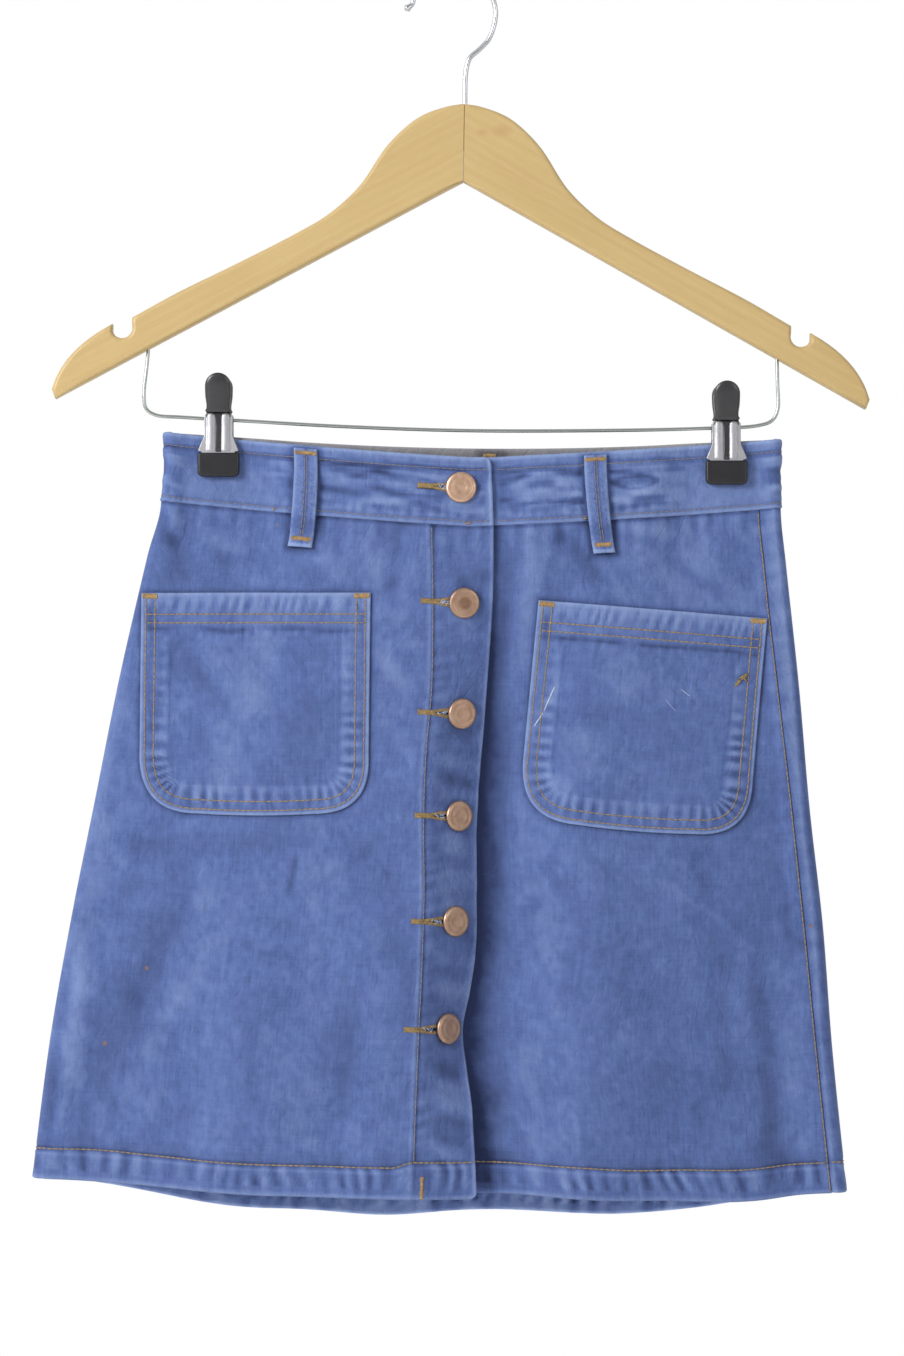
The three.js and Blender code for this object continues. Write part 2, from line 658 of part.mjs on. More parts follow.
// The bar is one bent wire, from its seat in the left arm down, across and up into the right arm
const BAR_ROUTE = inPlane([
  [-166.8, BAR.seat],
  [-168.2, -214],
  [-170, -233],
  [-168.6, -239.4],
  [-163.4, -242.7],
  [-150.2, -243.8],
  [-113.3, -246],
  [-60, -249],
  [6, -251.2],
  [80, -251.2],
  [135.9, -250.1],
  [168, -248.4],
  [175.6, -245.6],
  [178.6, -239.6],
  [178.5, -225],
  [177.6, BAR.seat],
]);

function hookRoute() {
  const points = [[-25.4, -19.2], [-22.4, -16.6]];
  for (let angle = 155; angle >= -20; angle -= 17.5) {
    const turn = THREE.MathUtils.degToRad(angle);
    points.push([HOOK.radius * Math.cos(turn), HOOK.radius * Math.sin(turn) + HOOK.wire - HOOK.radius]);
  }
  points.push([19.4, -36.4], [14.2, -41.9], [9.4, -46.2], [7.5, -51.5], [6.8, -58]);
  points.push([HOOK.stem, -72], [HOOK.stem, HOOK.stemEnd]);
  return inPlane(points);
}

function buildHanger() {
  const bar = new THREE.CatmullRomCurve3(BAR_ROUTE, false, 'centripetal');
  const stemFoot = new THREE.Vector3(HOOK.stem, 0, HOOK.stemEnd - 1);
  const stemTop = new THREE.Vector3(HOOK.stem, 0, ARM.top + 6);
  const stemHole = rodBetween(stemFoot, stemTop, HOOK.wire + GAP);
  const legs = { left: [BAR_ROUTE[1], BAR_ROUTE[0]], right: [BAR_ROUTE.at(-2), BAR_ROUTE.at(-1)] };
  for (const [name, hand] of [['left', -1], ['right', 1]]) {
    const options = {
      depth: ARM.thick - 2 * ARM.bevel,
      bevelThickness: ARM.bevel,
      bevelSize: ARM.bevel,
      bevelOffset: -ARM.bevel,
      bevelSegments: 2,
      curveSegments: 2,
    };
    const arm = new THREE.ExtrudeGeometry(armShape(hand), options);
    arm.translate(0, 0, ARM.bevel - ARM.thick / 2).rotateX(Math.PI / 2);
    arm.rotateY(ARM.tilt).translate(ARM.centre, 0, ARM.top);
    const [low, high] = legs[name];
    const past = high.clone().sub(low).setLength(1).add(high);
    const legHole = rodBetween(low, past, BAR.wire + GAP);
    add(`hanger_arm_${name}`, toGeometry(toSolid(arm).subtract(stemHole).subtract(legHole)), wood);
  }
  const hook = new THREE.CatmullRomCurve3(hookRoute(), false, 'centripetal');
  const tip = toSolid(new THREE.SphereGeometry(2.2, 10, 8).translate(-25.4, 0, -19.2));
  add('hanger_hook', toGeometry(toSolid(wireGeometry(hook, HOOK.wire, 40)).add(tip)), chrome);
  add('trouser_bar', wireGeometry(bar, BAR.wire, 60), chrome);
}

// A strip bent to the side profile of a clip leg, between two distances from its middle line
function bentStrip(width, near, far, top, foot) {
  const rows = [{ z: top }, ...CLIP_PROFILE.filter((row) => row.z < top && row.z > foot), { z: foot }];
  const outAt = (z) => {
    const i = Math.max(CLIP_PROFILE.findIndex((row) => row.z <= z), 1);
    const [a, b] = [CLIP_PROFILE[i - 1], CLIP_PROFILE[i]];
    return mix(a.out, b.out, (z - a.z) / (b.z - a.z));
  };
  const outside = rows.map(({ z }) => new THREE.Vector2(outAt(z) + far, z));
  const inside = rows.map(({ z }) => new THREE.Vector2(outAt(z) + near, z)).reverse();
  const shape = new THREE.Shape([...outside, ...inside]);
  const geometry = new THREE.ExtrudeGeometry(shape, { depth: width, bevelEnabled: false });
  geometry.translate(0, 0, -width / 2);
  const turn = new THREE.Matrix4();
  turn.makeBasis(new THREE.Vector3(0, -1, 0), new THREE.Vector3(0, 0, 1), new THREE.Vector3(-1, 0, 0));
  return toSolid(geometry.applyMatrix4(turn));
}

function plateOutline() {
  const { plate, flare, tongue } = CLIP_WIDTH;
  const shape = new THREE.Shape();
  const right = [
    [plate / 2 - 1.6, 21],
    [plate / 2 - 1.6, CLIP.capFoot],
    [plate / 2, CLIP.capFoot - 2],
    [plate / 2, -9.5],
    [flare / 2, CLIP.padTop + GAP],
    [tongue / 2, CLIP.padTop + GAP],
    [tongue / 2, CLIP.padTop - 8],
  ];
  const left = right.map(([x, z]) => [-x, z]).reverse();
  shape.setFromPoints([...right, ...left].map(([x, z]) => new THREE.Vector2(x, z)));
  return toSolid(facing(shape, -20, 0));
}

function capOutline() {
  const half = CLIP_WIDTH.cap / 2;
  const shape = new THREE.Shape();
  shape.moveTo(-half, CLIP.capFoot);
  shape.lineTo(half, CLIP.capFoot);
  shape.lineTo(half, CLIP.top - half);
  shape.absarc(0, CLIP.top - half, half, 0, Math.PI);
  shape.lineTo(-half, CLIP.capFoot);
  return toSolid(facing(shape, -24, 0, 5));
}

function roundedBlock(width, tall, thick, radius, bevel) {
  const [w, h] = [width / 2 - radius, tall / 2 - radius];
  const shape = new THREE.Shape();
  shape.absarc(w, h, radius, 0, Math.PI / 2);
  shape.absarc(-w, h, radius, Math.PI / 2, Math.PI);
  shape.absarc(-w, -h, radius, Math.PI, Math.PI * 1.5);
  shape.absarc(w, -h, radius, Math.PI * 1.5, Math.PI * 2);
  const options = {
    depth: thick - 2 * bevel,
    bevelThickness: bevel,
    bevelSize: bevel,
    bevelOffset: -bevel,
    bevelSegments: 1,
    curveSegments: 2,
  };
  const geometry = new THREE.ExtrudeGeometry(shape, options);
  return geometry.translate(0, 0, bevel - thick / 2).rotateX(Math.PI / 2);
}

function clipLeg() {
  const half = CLIP.sheet / 2;
  const plate = bentStrip(CLIP.padWidth, -half, half, 21, CLIP.padTop - 8).intersect(plateOutline());
  const rib = bentStrip(RIB.width, 0, half + RIB.rise, RIB.top, RIB.foot);
  return plate.add(rib.translate([-RIB.centre, 0, 0])).add(rib.translate([RIB.centre, 0, 0]));
}

// The grip is a thick sleeve over the top of the leg
function clipGrip() {
  const half = CLIP.sheet / 2;
  const block = bentStrip(CLIP_WIDTH.cap, -half - 1.3, half + 2.6, CLIP.top, CLIP.capFoot);
  const slotTop = 21 + GAP;
  const slot = bentStrip(CLIP_WIDTH.plate - 3.2 + 2 * GAP, -half - GAP, half + GAP, slotTop, CLIP.capFoot - 1);
  return block.intersect(capOutline()).subtract(slot);
}

function clipPad() {
  const half = CLIP.sheet / 2;
  const middle = (CLIP.padTop + CLIP.padFoot) / 2;
  const near = PINCH.half + BAND_PROUD + GAP;
  const block = roundedBlock(CLIP.padWidth, CLIP.padTop - CLIP.padFoot, CLIP.padThick, 3, 0.8);
  block.translate(0, -near - CLIP.padThick / 2, middle);
  const width = CLIP_WIDTH.tongue + 2 * GAP;
  const slot = bentStrip(width, -half - GAP, half + GAP, CLIP.padTop + 1, CLIP.padTop - 8 - GAP);
  return toSolid(block).subtract(slot);
}

function springGeometry() {
  const { inner, outer, length } = SPRING;
  const profile = [
    [inner, -length / 2],
    [outer, -length / 2],
    [outer, length / 2],
    [inner, length / 2],
    [inner, -length / 2],
  ];
  const geometry = new THREE.LatheGeometry(profile.map(([r, y]) => new THREE.Vector2(r, y)), 14);
  return geometry.rotateZ(Math.PI / 2);
}

function buildClips() {
  const parts = [
    ['leg', clipLeg(), chrome],
    ['grip', clipGrip(), blackPlastic],
    ['pad', clipPad(), rubber],
  ];
  for (const clip of CLIPS) {
    for (const [label, solid, material] of parts) {
      const front = toGeometry(solid);
      const back = front.clone().rotateZ(Math.PI);
      add(`${clip.name}_${label}_front`, front.translate(clip.x, 0, clip.z), material);
      add(`${clip.name}_${label}_back`, back.translate(clip.x, 0, clip.z), material);
    }
    add(`${clip.name}_spring`, springGeometry().translate(clip.x, 0, clip.z), chrome);
  }
}

buildPanels();
buildPockets();
buildBeltLoops();
buildHanger();
buildClips();

export default skirt;
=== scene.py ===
"""Looks of a denim skirt held by the two clips of a wooden hanger.

Sizes are millimetres in the frame of the solids, with +Z up and the front towards -Y. MM turns them into metres
where a mesh is made.
"""
import math

import bpy
import numpy as np
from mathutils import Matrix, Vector


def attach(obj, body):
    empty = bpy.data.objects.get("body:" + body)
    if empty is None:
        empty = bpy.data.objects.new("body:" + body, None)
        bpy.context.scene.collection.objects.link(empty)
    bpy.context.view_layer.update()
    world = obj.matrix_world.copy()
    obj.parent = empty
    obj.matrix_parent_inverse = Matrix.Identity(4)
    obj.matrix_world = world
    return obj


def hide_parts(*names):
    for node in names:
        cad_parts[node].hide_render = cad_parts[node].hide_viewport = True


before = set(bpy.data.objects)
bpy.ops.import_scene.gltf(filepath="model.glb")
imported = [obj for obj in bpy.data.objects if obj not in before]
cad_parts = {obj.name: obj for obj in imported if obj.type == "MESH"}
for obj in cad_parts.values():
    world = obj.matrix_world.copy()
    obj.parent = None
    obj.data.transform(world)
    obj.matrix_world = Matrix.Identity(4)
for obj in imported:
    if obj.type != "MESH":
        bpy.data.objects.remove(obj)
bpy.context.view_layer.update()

MM = 0.001
FRONT = -1
BACK = 1


def table(columns, *rows):
    """A table with named columns and a row for each section, fold or mark."""
    names = columns.split()
    return {name: np.array([row[i] for row in rows]) for i, name in enumerate(names)}


def rows_of(rows):
    """The rows of a table as small dictionaries."""
    names = list(rows)
    return [dict(zip(names, values)) for values in zip(*rows.values())]


# Layers of cloth, measured from the outer face of the single panel
GAP = 0.3
DENIM = 1.2
BAND_PROUD = 0.8
BAND_THICK = 2.4
FACED_THICK = 2.4
UNDERLAP_THICK = 2
HEM_THICK = 2.4
HEM_DEPTH = 17
LAYER_GAP = 0.4
POCKET_GAP = 0.35

# Hanging shape
BAND_HEIGHT = 38
TOP_CORNER = {"left": -252.1, "right": -256}
HEM_CORNER = {"left": -661.8, "right": -669.7}
TOP_DIP = {FRONT: 12.4, BACK: 6.4}
HEM_DIP = {FRONT: 5.6, BACK: 18.6}
PANEL_LENGTH = 373
WAIST_TENT = 0.6
HEM_RISE = 0.3
BOW_REACH = 0.42
TROUGH_REACH = 0.08
SECTIONS = table(
    "v left right fold front back",
    (-1, -158.6, 180.0, 4.2, 6, 7),
    (0, -160.6, 180.3, 4.4, 8, 10),
    (0.08, -168.0, 183.1, 4.5, 9, 12),
    (0.26, -183.4, 190.3, 5, 11, 18),
    (0.44, -196.8, 196.2, 5.5, 13, 24),
    (0.61, -209.5, 203.4, 6, 15, 30),
    (0.79, -221.3, 208.6, 6.5, 18, 35),
    (1, -231.5, 216.7, 7, 20, 40),
)
OPENING = table(
    "v seam edge valley gape",
    (-1, -11.6, 20.9, 0, 0),
    (0, -11.6, 22.3, 0.5, 0),
    (0.11, -11.0, 22.0, 5, 0),
    (0.24, -11.6, 19.0, 14, 0),
    (0.335, -14.6, 16.3, 18, 0),
    (0.44, -16.0, 13.6, 20, 0),
    (0.546, -15.8, 13.3, 21, 0),
    (0.627, -16.6, 13.0, 22, 0),
    (0.69, -17.4, 9.9, 23, 0),
    (0.75, -18.6, 6.2, 24, 0),
    (0.81, -19.5, 8.2, 21, 1),
    (0.87, -20.4, 10.8, 16, 5),
    (1, -22.0, 13.1, 9, 11),
)
VALLEY_SHIFT = 7
VALLEY_REACH = 27
RAMP_LEAD = 4
RAMP_BLEND = 0.25
VALLEY_SPAN = 60
UNDERLAP_RISE = 26
GAPE_RISE = 58
SIDE_SEAM_BACK = 12
SIDE_SEAM_FRONT = table(
    "v inset", (-1, 6.3), (0.11, 7.8), (0.26, 7), (0.44, 4.5), (0.61, 4.5), (0.79, 2.5), (1, 2)
)
FOLDS = table(
    "side top hem waist middle low reach",
    (FRONT, -95, -165, 0, 1.6, 3, 20),
    (FRONT, -52, -78, 0.4, 2.2, 3.5, 20),
    (FRONT, 92, 112, 0, 1.4, 3.5, 22),
    (FRONT, 160, 192, 0, 3, 3.5, 10),
    (BACK, -88, -128, 0, 4, 7, 24),
    (BACK, -28, -34, 0.5, 4, 8, 20),
    (BACK, 60, 66, 0.5, 5, 9, 24),
    (BACK, 116, 142, 0, 3, 6, 18),
)
CLIP_X = (-128.7, 150.1)
CLIP_Z = (-245.1, -249.4)
PINCH = {"half": 1.8, "flat": 15.5, "outside": 26.4, "inside": 46, "fade": 0.17}

# Pieces on the panels
POCKET = {"width": 126, "height": 121, "corner": 31, "thick": 1.2, "sag": 2, "lean": 1}
POCKETS = table(
    "name x z turn seed shift",
    ("pocket_left", -107.9, -340.6, 0, 61, 0.31),
    ("pocket_right", 109.7, -349.6, -4.6, 71, 0.77),
)
BELT_LOOPS = table(
    "name side top foot topWidth footWidth bow",
    ("belt_loop_left", FRONT, -80.6, -83.6, 12.6, 13, 1.5),
    ("belt_loop_right", FRONT, 77.8, 82.7, 12.4, 11.8, -1.2),
    ("belt_loop_back", BACK, 21, 21, 12.4, 12.4, 0.5),
)
LOOP = {"start": 2, "length": 54, "thick": 1.6}
LOOP_RISE = table(
    "v rise", (0, 1.3), (0.12, 1.3), (0.4, 2.5), (0.66, 2.3), (0.8, 1.4), (0.9, 0.6), (1, 1.3)
)
BUTTONS = table(
    "x v", (4.4, -0.55), (6.0, 0.114), (4.4, 0.279), (2.7, 0.432), (0.8, 0.589), (-3.2, 0.749)
)
BUTTON = {"cap": 8.5, "height": 3.1, "shank": 3, "nail": 1.1, "rivet": 4.6}
HOLE = {"length": 23.5, "slit": 0.9, "purl": 1.7}

# Hanger
ARM = {"thick": 12, "round": 2.2, "centre": 6.3, "top": -72.2, "foot": -114.5, "slope": 0.549, "tilt": 0.013}
ARM_TOP = table(
    "out drop",
    (8.2, 1.1), (24.7, 7.4), (41.2, 22.2), (57.7, 46.4), (74.2, 61.6), (90.7, 71.7), (123.7, 89.1),
    (156.7, 105.8), (181.0, 119.6),
)
NOTCH = {"out": 186.4, "drop": 125.2, "radius": 5.7}
ARM_END = {"out": 194.2, "drop": 124.6, "tipOut": 224.6, "tipDrop": 162.4}
HOOK = {"wire": 1.4, "radius": 23.5, "stem": 6.6, "stemEnd": -96}
BAR = {"wire": 1, "seat": -198}
BAR_ROUTE = (
    (-166.8, BAR["seat"]), (-168.2, -214), (-170, -233), (-168.6, -239.4), (-163.4, -242.7),
    (-150.2, -243.8), (-113.3, -246), (-60, -249), (6, -251.2), (80, -251.2), (135.9, -250.1),
    (168, -248.4), (175.6, -245.6), (178.6, -239.6), (178.5, -225), (177.6, BAR["seat"]),
)

# Fine form: grid spacing, puckers and creases
SPACING = 1.6
BACK_SPACING = 2.1
BAND_SPACING = 1.25
POCKET_SPACING = 1.4
EDGE_STEPS = (0.25, 0.7, 1.2)
SEAM_GAP = 0.06
UNDER_BAND = 0.9
HEM_PUCKER = {"pitch": 11, "lean": 0.12, "height": 0.4, "above": 6}
SEAM_PUCKER = {"pitch": 10.5, "height": 0.17, "below": 15}
FACING_PUCKER = {"pitch": 9, "height": 0.14, "reach": 11}
STITCH = {"pitch": 3.1, "length": 3.3, "radius": 0.34, "groove": 0.4}

# Creases: from and to in X and Z, half width and height. A negative height is a trough.
CREASES = table(
    "side x0 z0 x1 z1 width height",
    (FRONT, -158, -297, -136, -318, 4, 1.1),
    (FRONT, -150, -312, -128, -322, 5, -1.1),
    (FRONT, -128, -319, -108, -322, 4, -0.8),
    (FRONT, -76, -316, -62, -330, 5, 0.9),
    (FRONT, -31, -306, -34, -335, 5, -1.3),
    (FRONT, -42, -371, -30, -388, 4, 0.4),
    (FRONT, -86.4, -488, -89.1, -502, 1.3, -0.4),
    (FRONT, -40.5, -488, -36, -494.5, 1.3, -0.25),
    (FRONT, -103, -537, -91, -539, 1.6, -0.2),
    (FRONT, -150, -500, -172, -560, 9, -0.9),
    (FRONT, -120, -560, -134, -640, 11, 1.2),
    (FRONT, -60, -590, -64, -645, 9, -1.1),
    (FRONT, -205, -560, -214, -640, 6, 1.2),
    (FRONT, -45, -520, -42, -610, 8, 0.9),
    (FRONT, 44, -330, 30, -392, 6, 1.1),
    (FRONT, 100, -305, 122, -307, 3, 0.8),
    (FRONT, 120, -322, 140, -336, 4, -0.9),
    (FRONT, 60, -312, 78, -330, 5, -0.8),
    (FRONT, 178, -372, 184, -420, 4, 1.2),
    (FRONT, 185, -430, 194, -540, 5, 1.0),
    (FRONT, 93, -537, 110, -532, 1.8, 0.2),
    (FRONT, 60, -480, 76, -500, 6, 0.8),
    (FRONT, 140, -500, 152, -590, 10, -1.2),
    (FRONT, 96, -590, 92, -650, 9, 1.0),
    (FRONT, 168, -560, 176, -640, 6, -1.0),
    (FRONT, 40, -600, 46, -655, 6, 0.9),
    (BACK, -140, -300, -112, -326, 5, 1.3),
    (BACK, -120, -318, -90, -330, 6, -1.2),
    (BACK, 150, -306, 128, -332, 5, -1.2),
    (BACK, 162, -300, 140, -320, 4, 1.1),
    (BACK, -60, -310, -52, -352, 7, -1.4),
    (BACK, 46, -312, 40, -362, 7, -1.4),
    (BACK, 90, -420, 112, -510, 9, 1.3),
    (BACK, -100, -430, -120, -520, 10, 1.4),
    (BACK, -12, -470, -2, -580, 9, 1.3),
    (BACK, -70, -480, -62, -492, 2.2, -0.3),
    (BACK, 24, -540, 38, -546, 2.2, -0.3),
    (BACK, 150, -540, 164, -632, 8, -1.3),
    (BACK, -160, -560, -176, -640, 8, -1.3),
    (BACK, 80, -580, 92, -650, 8, 1.2),
)

# Paler and darker patches of the wash: from and to in X and Z, half width and strength
TONES = table(
    "side x0 z0 x1 z1 width height",
    (FRONT, -160, -306, -153, -325, 7, -0.25),
    (FRONT, -147, -300, -120, -322, 4, 0.2),
    (FRONT, -156, -331, -128, -333, 5, -0.2),
    (FRONT, -73, -317, -40, -325, 8, 0.12),
    (FRONT, -35, -314, -18, -306, 7, -0.15),
    (FRONT, -35, -336, -32, -405, 8, 0.15),
    (FRONT, -37, -375, -29, -386, 2.5, 0.15),
    (FRONT, -150, -372, -142, -388, 7, -0.3),
    (FRONT, -139, -383, -125, -402, 3, -0.25),
    (FRONT, -128, -380, -112, -399, 7, 0.2),
    (FRONT, -101, -366, -128, -443, 6, 0.25),
    (FRONT, -147, -394, -150, -413, 6, 0.15),
    (FRONT, -143, -410, -139, -421, 4, -0.25),
    (FRONT, -84, -369, -73, -380, 8, -0.2),
    (FRONT, -73, -405, -92, -438, 10, -0.25),
    (FRONT, -57, -372, -54, -438, 4, 0.12),
    (FRONT, -175, -479, -95, -478, 5, -0.25),
    (FRONT, -179, -498, -183, -509, 7, -0.15),
    (FRONT, -160, -526, -172, -553, 8, -0.25),
    (FRONT, -178, -562, -189, -600, 10, -0.28),
    (FRONT, -123, -523, -147, -559, 6, 0.15),
    (FRONT, -153, -564, -175, -603, 5, 0.2),
    (FRONT, -142, -493, -139, -507, 6, 0.15),
    (FRONT, -117, -553, -123, -564, 7, -0.15),
    (FRONT, -73, -471, -68, -526, 8, 0.15),
    (FRONT, -46, -482, -46, -504, 7, -0.2),
    (FRONT, -98, -600, -73, -636, 10, 0.12),
    (FRONT, -54, -581, -48, -614, 8, -0.2),
    (FRONT, -123, -597, -147, -619, 8, -0.12),
    (FRONT, -208, -592, -189, -647, 4, 0.2),
    (FRONT, -197, -465, -186, -482, 6, 0.25),
    (FRONT, -189, -405, -205, -537, 6, 0.2),
    (FRONT, -208, -537, -213, -581, 5, 0.2),
    (FRONT, -219, -611, -213, -644, 5, -0.15),
    (FRONT, -169, -619, -147, -614, 8, 0.1),
    (FRONT, 40, -320, 34, -405, 7, 0.25),
    (FRONT, 37, -460, 42, -498, 8, 0.15),
    (FRONT, 51, -520, 56, -628, 7, 0.25),
    (FRONT, 100, -311, 128, -328, 7, 0.15),
    (FRONT, 73, -331, 81, -342, 4, -0.2),
    (FRONT, 147, -306, 158, -331, 6, -0.3),
    (FRONT, 136, -320, 158, -342, 4, 0.12),
    (FRONT, 67, -375, 73, -399, 7, -0.15),
    (FRONT, 92, -383, 100, -399, 7, 0.2),
    (FRONT, 62, -408, 106, -408, 4, -0.15),
    (FRONT, 67, -421, 75, -432, 7, 0.2),
    (FRONT, 46, -412, 57, -391, 1.6, 0.35),
    (FRONT, 117, -397, 130, -396, 3, 0.2),
    (FRONT, 106, -419, 147, -427, 9, -0.12),
    (FRONT, 53, -441, 62, -449, 3, 0.4),
    (FRONT, 158, -454, 174, -443, 7, -0.2),
    (FRONT, 155, -468, 180, -493, 6, -0.15),
    (FRONT, 111, -496, 147, -520, 1.6, 0.22),
    (FRONT, 147, -520, 158, -534, 2.5, 0.12),
    (FRONT, 92, -485, 114, -479, 4, 0.1),
    (FRONT, 183, -515, 188, -531, 3, -0.4),
    (FRONT, 86, -537, 119, -529, 3, -0.15),
    (FRONT, 106, -614, 147, -608, 12, -0.12),
    (FRONT, 169, -600, 174, -644, 8, -0.15),
    (FRONT, 180, -553, 191, -641, 4, 0.1),
    (FRONT, 141, -537, 169, -509, 12, -0.1),
    (BACK, -150, -330, -158, -420, 8, -0.2),
    (BACK, -110, -350, -96, -470, 9, 0.2),
    (BACK, -40, -340, -46, -430, 8, -0.2),
    (BACK, 30, -360, 44, -470, 9, 0.18),
    (BACK, 120, -340, 138, -430, 8, -0.2),
    (BACK, 160, -400, 176, -560, 6, 0.22),
    (BACK, -180, -420, -206, -600, 6, 0.22),
    (BACK, -120, -500, -140, -600, 10, -0.22),
    (BACK, -30, -520, -24, -640, 10, 0.16),
    (BACK, 70, -500, 96, -600, 10, -0.2),
    (BACK, 20, -470, 60, -500, 5, 0.2),
    (BACK, 130, -560, 150, -640, 8, 0.16),
)


# Small maths
def mix(a, b, s):
    return a + (b - a) * s


def smooth(s):
    s = np.clip(s, 0, 1)
    return s * s * (3 - 2 * s)


def bell(away, reach):
    """1 where away is 0, falling softly to nothing over about twice the reach."""
    return np.exp(-((away / reach) ** 2))


def unit(vectors):
    return vectors / np.maximum(np.linalg.norm(vectors, axis=-1, keepdims=True), 1e-12)


def read(rows, column, v):
    """Reads one column of a table as a smooth curve of v."""
    at, value = rows["v"].astype(float), rows[column].astype(float)
    last = len(at) - 1
    v = np.clip(v, at[0], at[-1])
    i = np.clip(np.searchsorted(at, v, side="left") - 1, 0, last - 1)
    before = np.maximum(np.arange(last + 1) - 1, 0)
    after = np.minimum(np.arange(last + 1) + 1, last)
    slope = (value[after] - value[before]) / (at[after] - at[before])
    span = at[i + 1] - at[i]
    s = (v - at[i]) / span
    step = value[i + 1] - value[i]
    bend = s * (1 - s) * ((1 - s) * (slope[i] * span - step) - s * (slope[i + 1] * span - step))
    return value[i] + step * s + bend


LATTICE_SIZE = 64
LATTICE = np.random.default_rng(41).random((LATTICE_SIZE, LATTICE_SIZE))


def noise(x, y, seed=0):
    """Smooth noise from -1 to 1 that changes over about one unit."""
    x, y = np.broadcast_arrays(np.asarray(x, float) + 17.3 * seed, np.asarray(y, float) + 9.7 * seed)
    i, j = np.floor(x).astype(int), np.floor(y).astype(int)
    fx, fy = smooth(x - i), smooth(y - j)
    i0, i1 = i % LATTICE_SIZE, (i + 1) % LATTICE_SIZE
    j0, j1 = j % LATTICE_SIZE, (j + 1) % LATTICE_SIZE
    low = mix(LATTICE[i0, j0], LATTICE[i1, j0], fx)
    high = mix(LATTICE[i0, j1], LATTICE[i1, j1], fx)
    return 2 * mix(low, high, fy) - 1


# The hanging shape of the skirt
def pinched(x, v):
    """How far the clips hold the two walls of the waistband together, from 0 to 1."""
    held = np.zeros(np.broadcast(x, v).shape)
    for clip in CLIP_X:
        reach = np.where(np.abs(x) > abs(clip), PINCH["outside"], PINCH["inside"])
        away = np.abs(x - clip)
        held = np.maximum(held, 1 - smooth((away - PINCH["flat"]) / (reach - PINCH["flat"])))
    return held * (1 - smooth(v / PINCH["fade"]))


def ramp(s):
    """A slope from 0 to 1, straight in the middle and softly bent at both ends."""
    curve = 1 / (2 * RAMP_BLEND * (1 - RAMP_BLEND))
    straight = (s - RAMP_BLEND / 2) / (1 - RAMP_BLEND)
    bent = np.where(s < RAMP_BLEND, s * s * curve, straight)
    return np.where(s > 1 - RAMP_BLEND, 1 - (1 - s) ** 2 * curve, bent)


def valley(x, v):
    """The doubled edge slopes down into a trough, and the right front rises softly out of it."""
    centre = read(OPENING, "edge", v) + VALLEY_SHIFT
    depth = read(OPENING, "valley", v)
    start = read(OPENING, "seam", v) - RAMP_LEAD
    slope = ramp(np.clip((x - start) / (centre - start), 0, 1))
    return depth * np.where(x > centre, np.exp(-(((x - centre) / VALLEY_REACH) ** 2) / 2), slope)


def troughs(side, x, v):
    """Depth of the hanging folds on one wall."""
    depth = np.zeros(np.broadcast(x, v).shape)
    for fold in rows_of(FOLDS):
        if fold["side"] != side:
            continue
        centre = mix(fold["top"], fold["hem"], v)
        upper = mix(fold["waist"], fold["middle"], np.clip(v * 2, 0, 1))
        low = np.where(v < 0.5, upper, mix(fold["middle"], fold["low"], v * 2 - 1))
        depth = depth + low * np.exp(-(((x - centre) / fold["reach"]) ** 2) / 2)
    return depth + valley(x, v) if side == FRONT else depth


def height(side, u, v):
    """Z of a wall at a share u across it: its upper edge dips and its hem sags between the corners."""
    arc = np.sin(math.pi * np.clip(u, 0, 1))
    tent = 1 - np.abs(2 * np.clip(u, 0, 1) - 1)
    dip = mix(arc, tent, WAIST_TENT) if side == FRONT else arc
    top = mix(TOP_CORNER["left"], TOP_CORNER["right"], u) - TOP_DIP[side] * dip
    swell = smooth(u / HEM_RISE) * smooth((1 - u) / HEM_RISE)
    hem = mix(HEM_CORNER["left"], HEM_CORNER["right"], u) - HEM_DIP[side] * swell
    return np.where(v < 0, top - BAND_HEIGHT * (v + 1), mix(top - BAND_HEIGHT, hem, v))


def share_across(x, v):
    """0 at the left end of the panel's walls and 1 at the right end."""
    left, right = read(SECTIONS, "left", v), read(SECTIONS, "right", v)
    return (x - left) / (right - left)


def wall_point(side, x, v):
    """A point of the outer face of the panel on the front or back wall."""
    u = share_across(x, v)
    fold = read(SECTIONS, "fold", v)
    bow = read(SECTIONS, "front" if side == FRONT else "back", v)
    ends = smooth(u / TROUGH_REACH) * smooth((1 - u) / TROUGH_REACH)
    bowed = bow * smooth(u / BOW_REACH) * smooth((1 - u) / BOW_REACH)
    half = mix(fold + bowed - troughs(side, x, v) * ends, PINCH["half"], pinched(x, v))
    return np.stack([x, side * half, height(side, u, v)], axis=-1)


# The way round the skirt: left side seam, left edge, front, right edge, back. t counts the steps of the spans.
SPANS = (
    ("backLeft", 1), ("foldLeft", 6), ("frontLeft", 10), ("faced", 4), ("valley", 6), ("frontRight", 8),
    ("seamRight", 1), ("foldRight", 6), ("back", 20),
)
STEPS = dict(SPANS)
START = {}
ROUND = 0
for span_name, span_steps in SPANS:
    START[span_name] = ROUND
    ROUND += span_steps


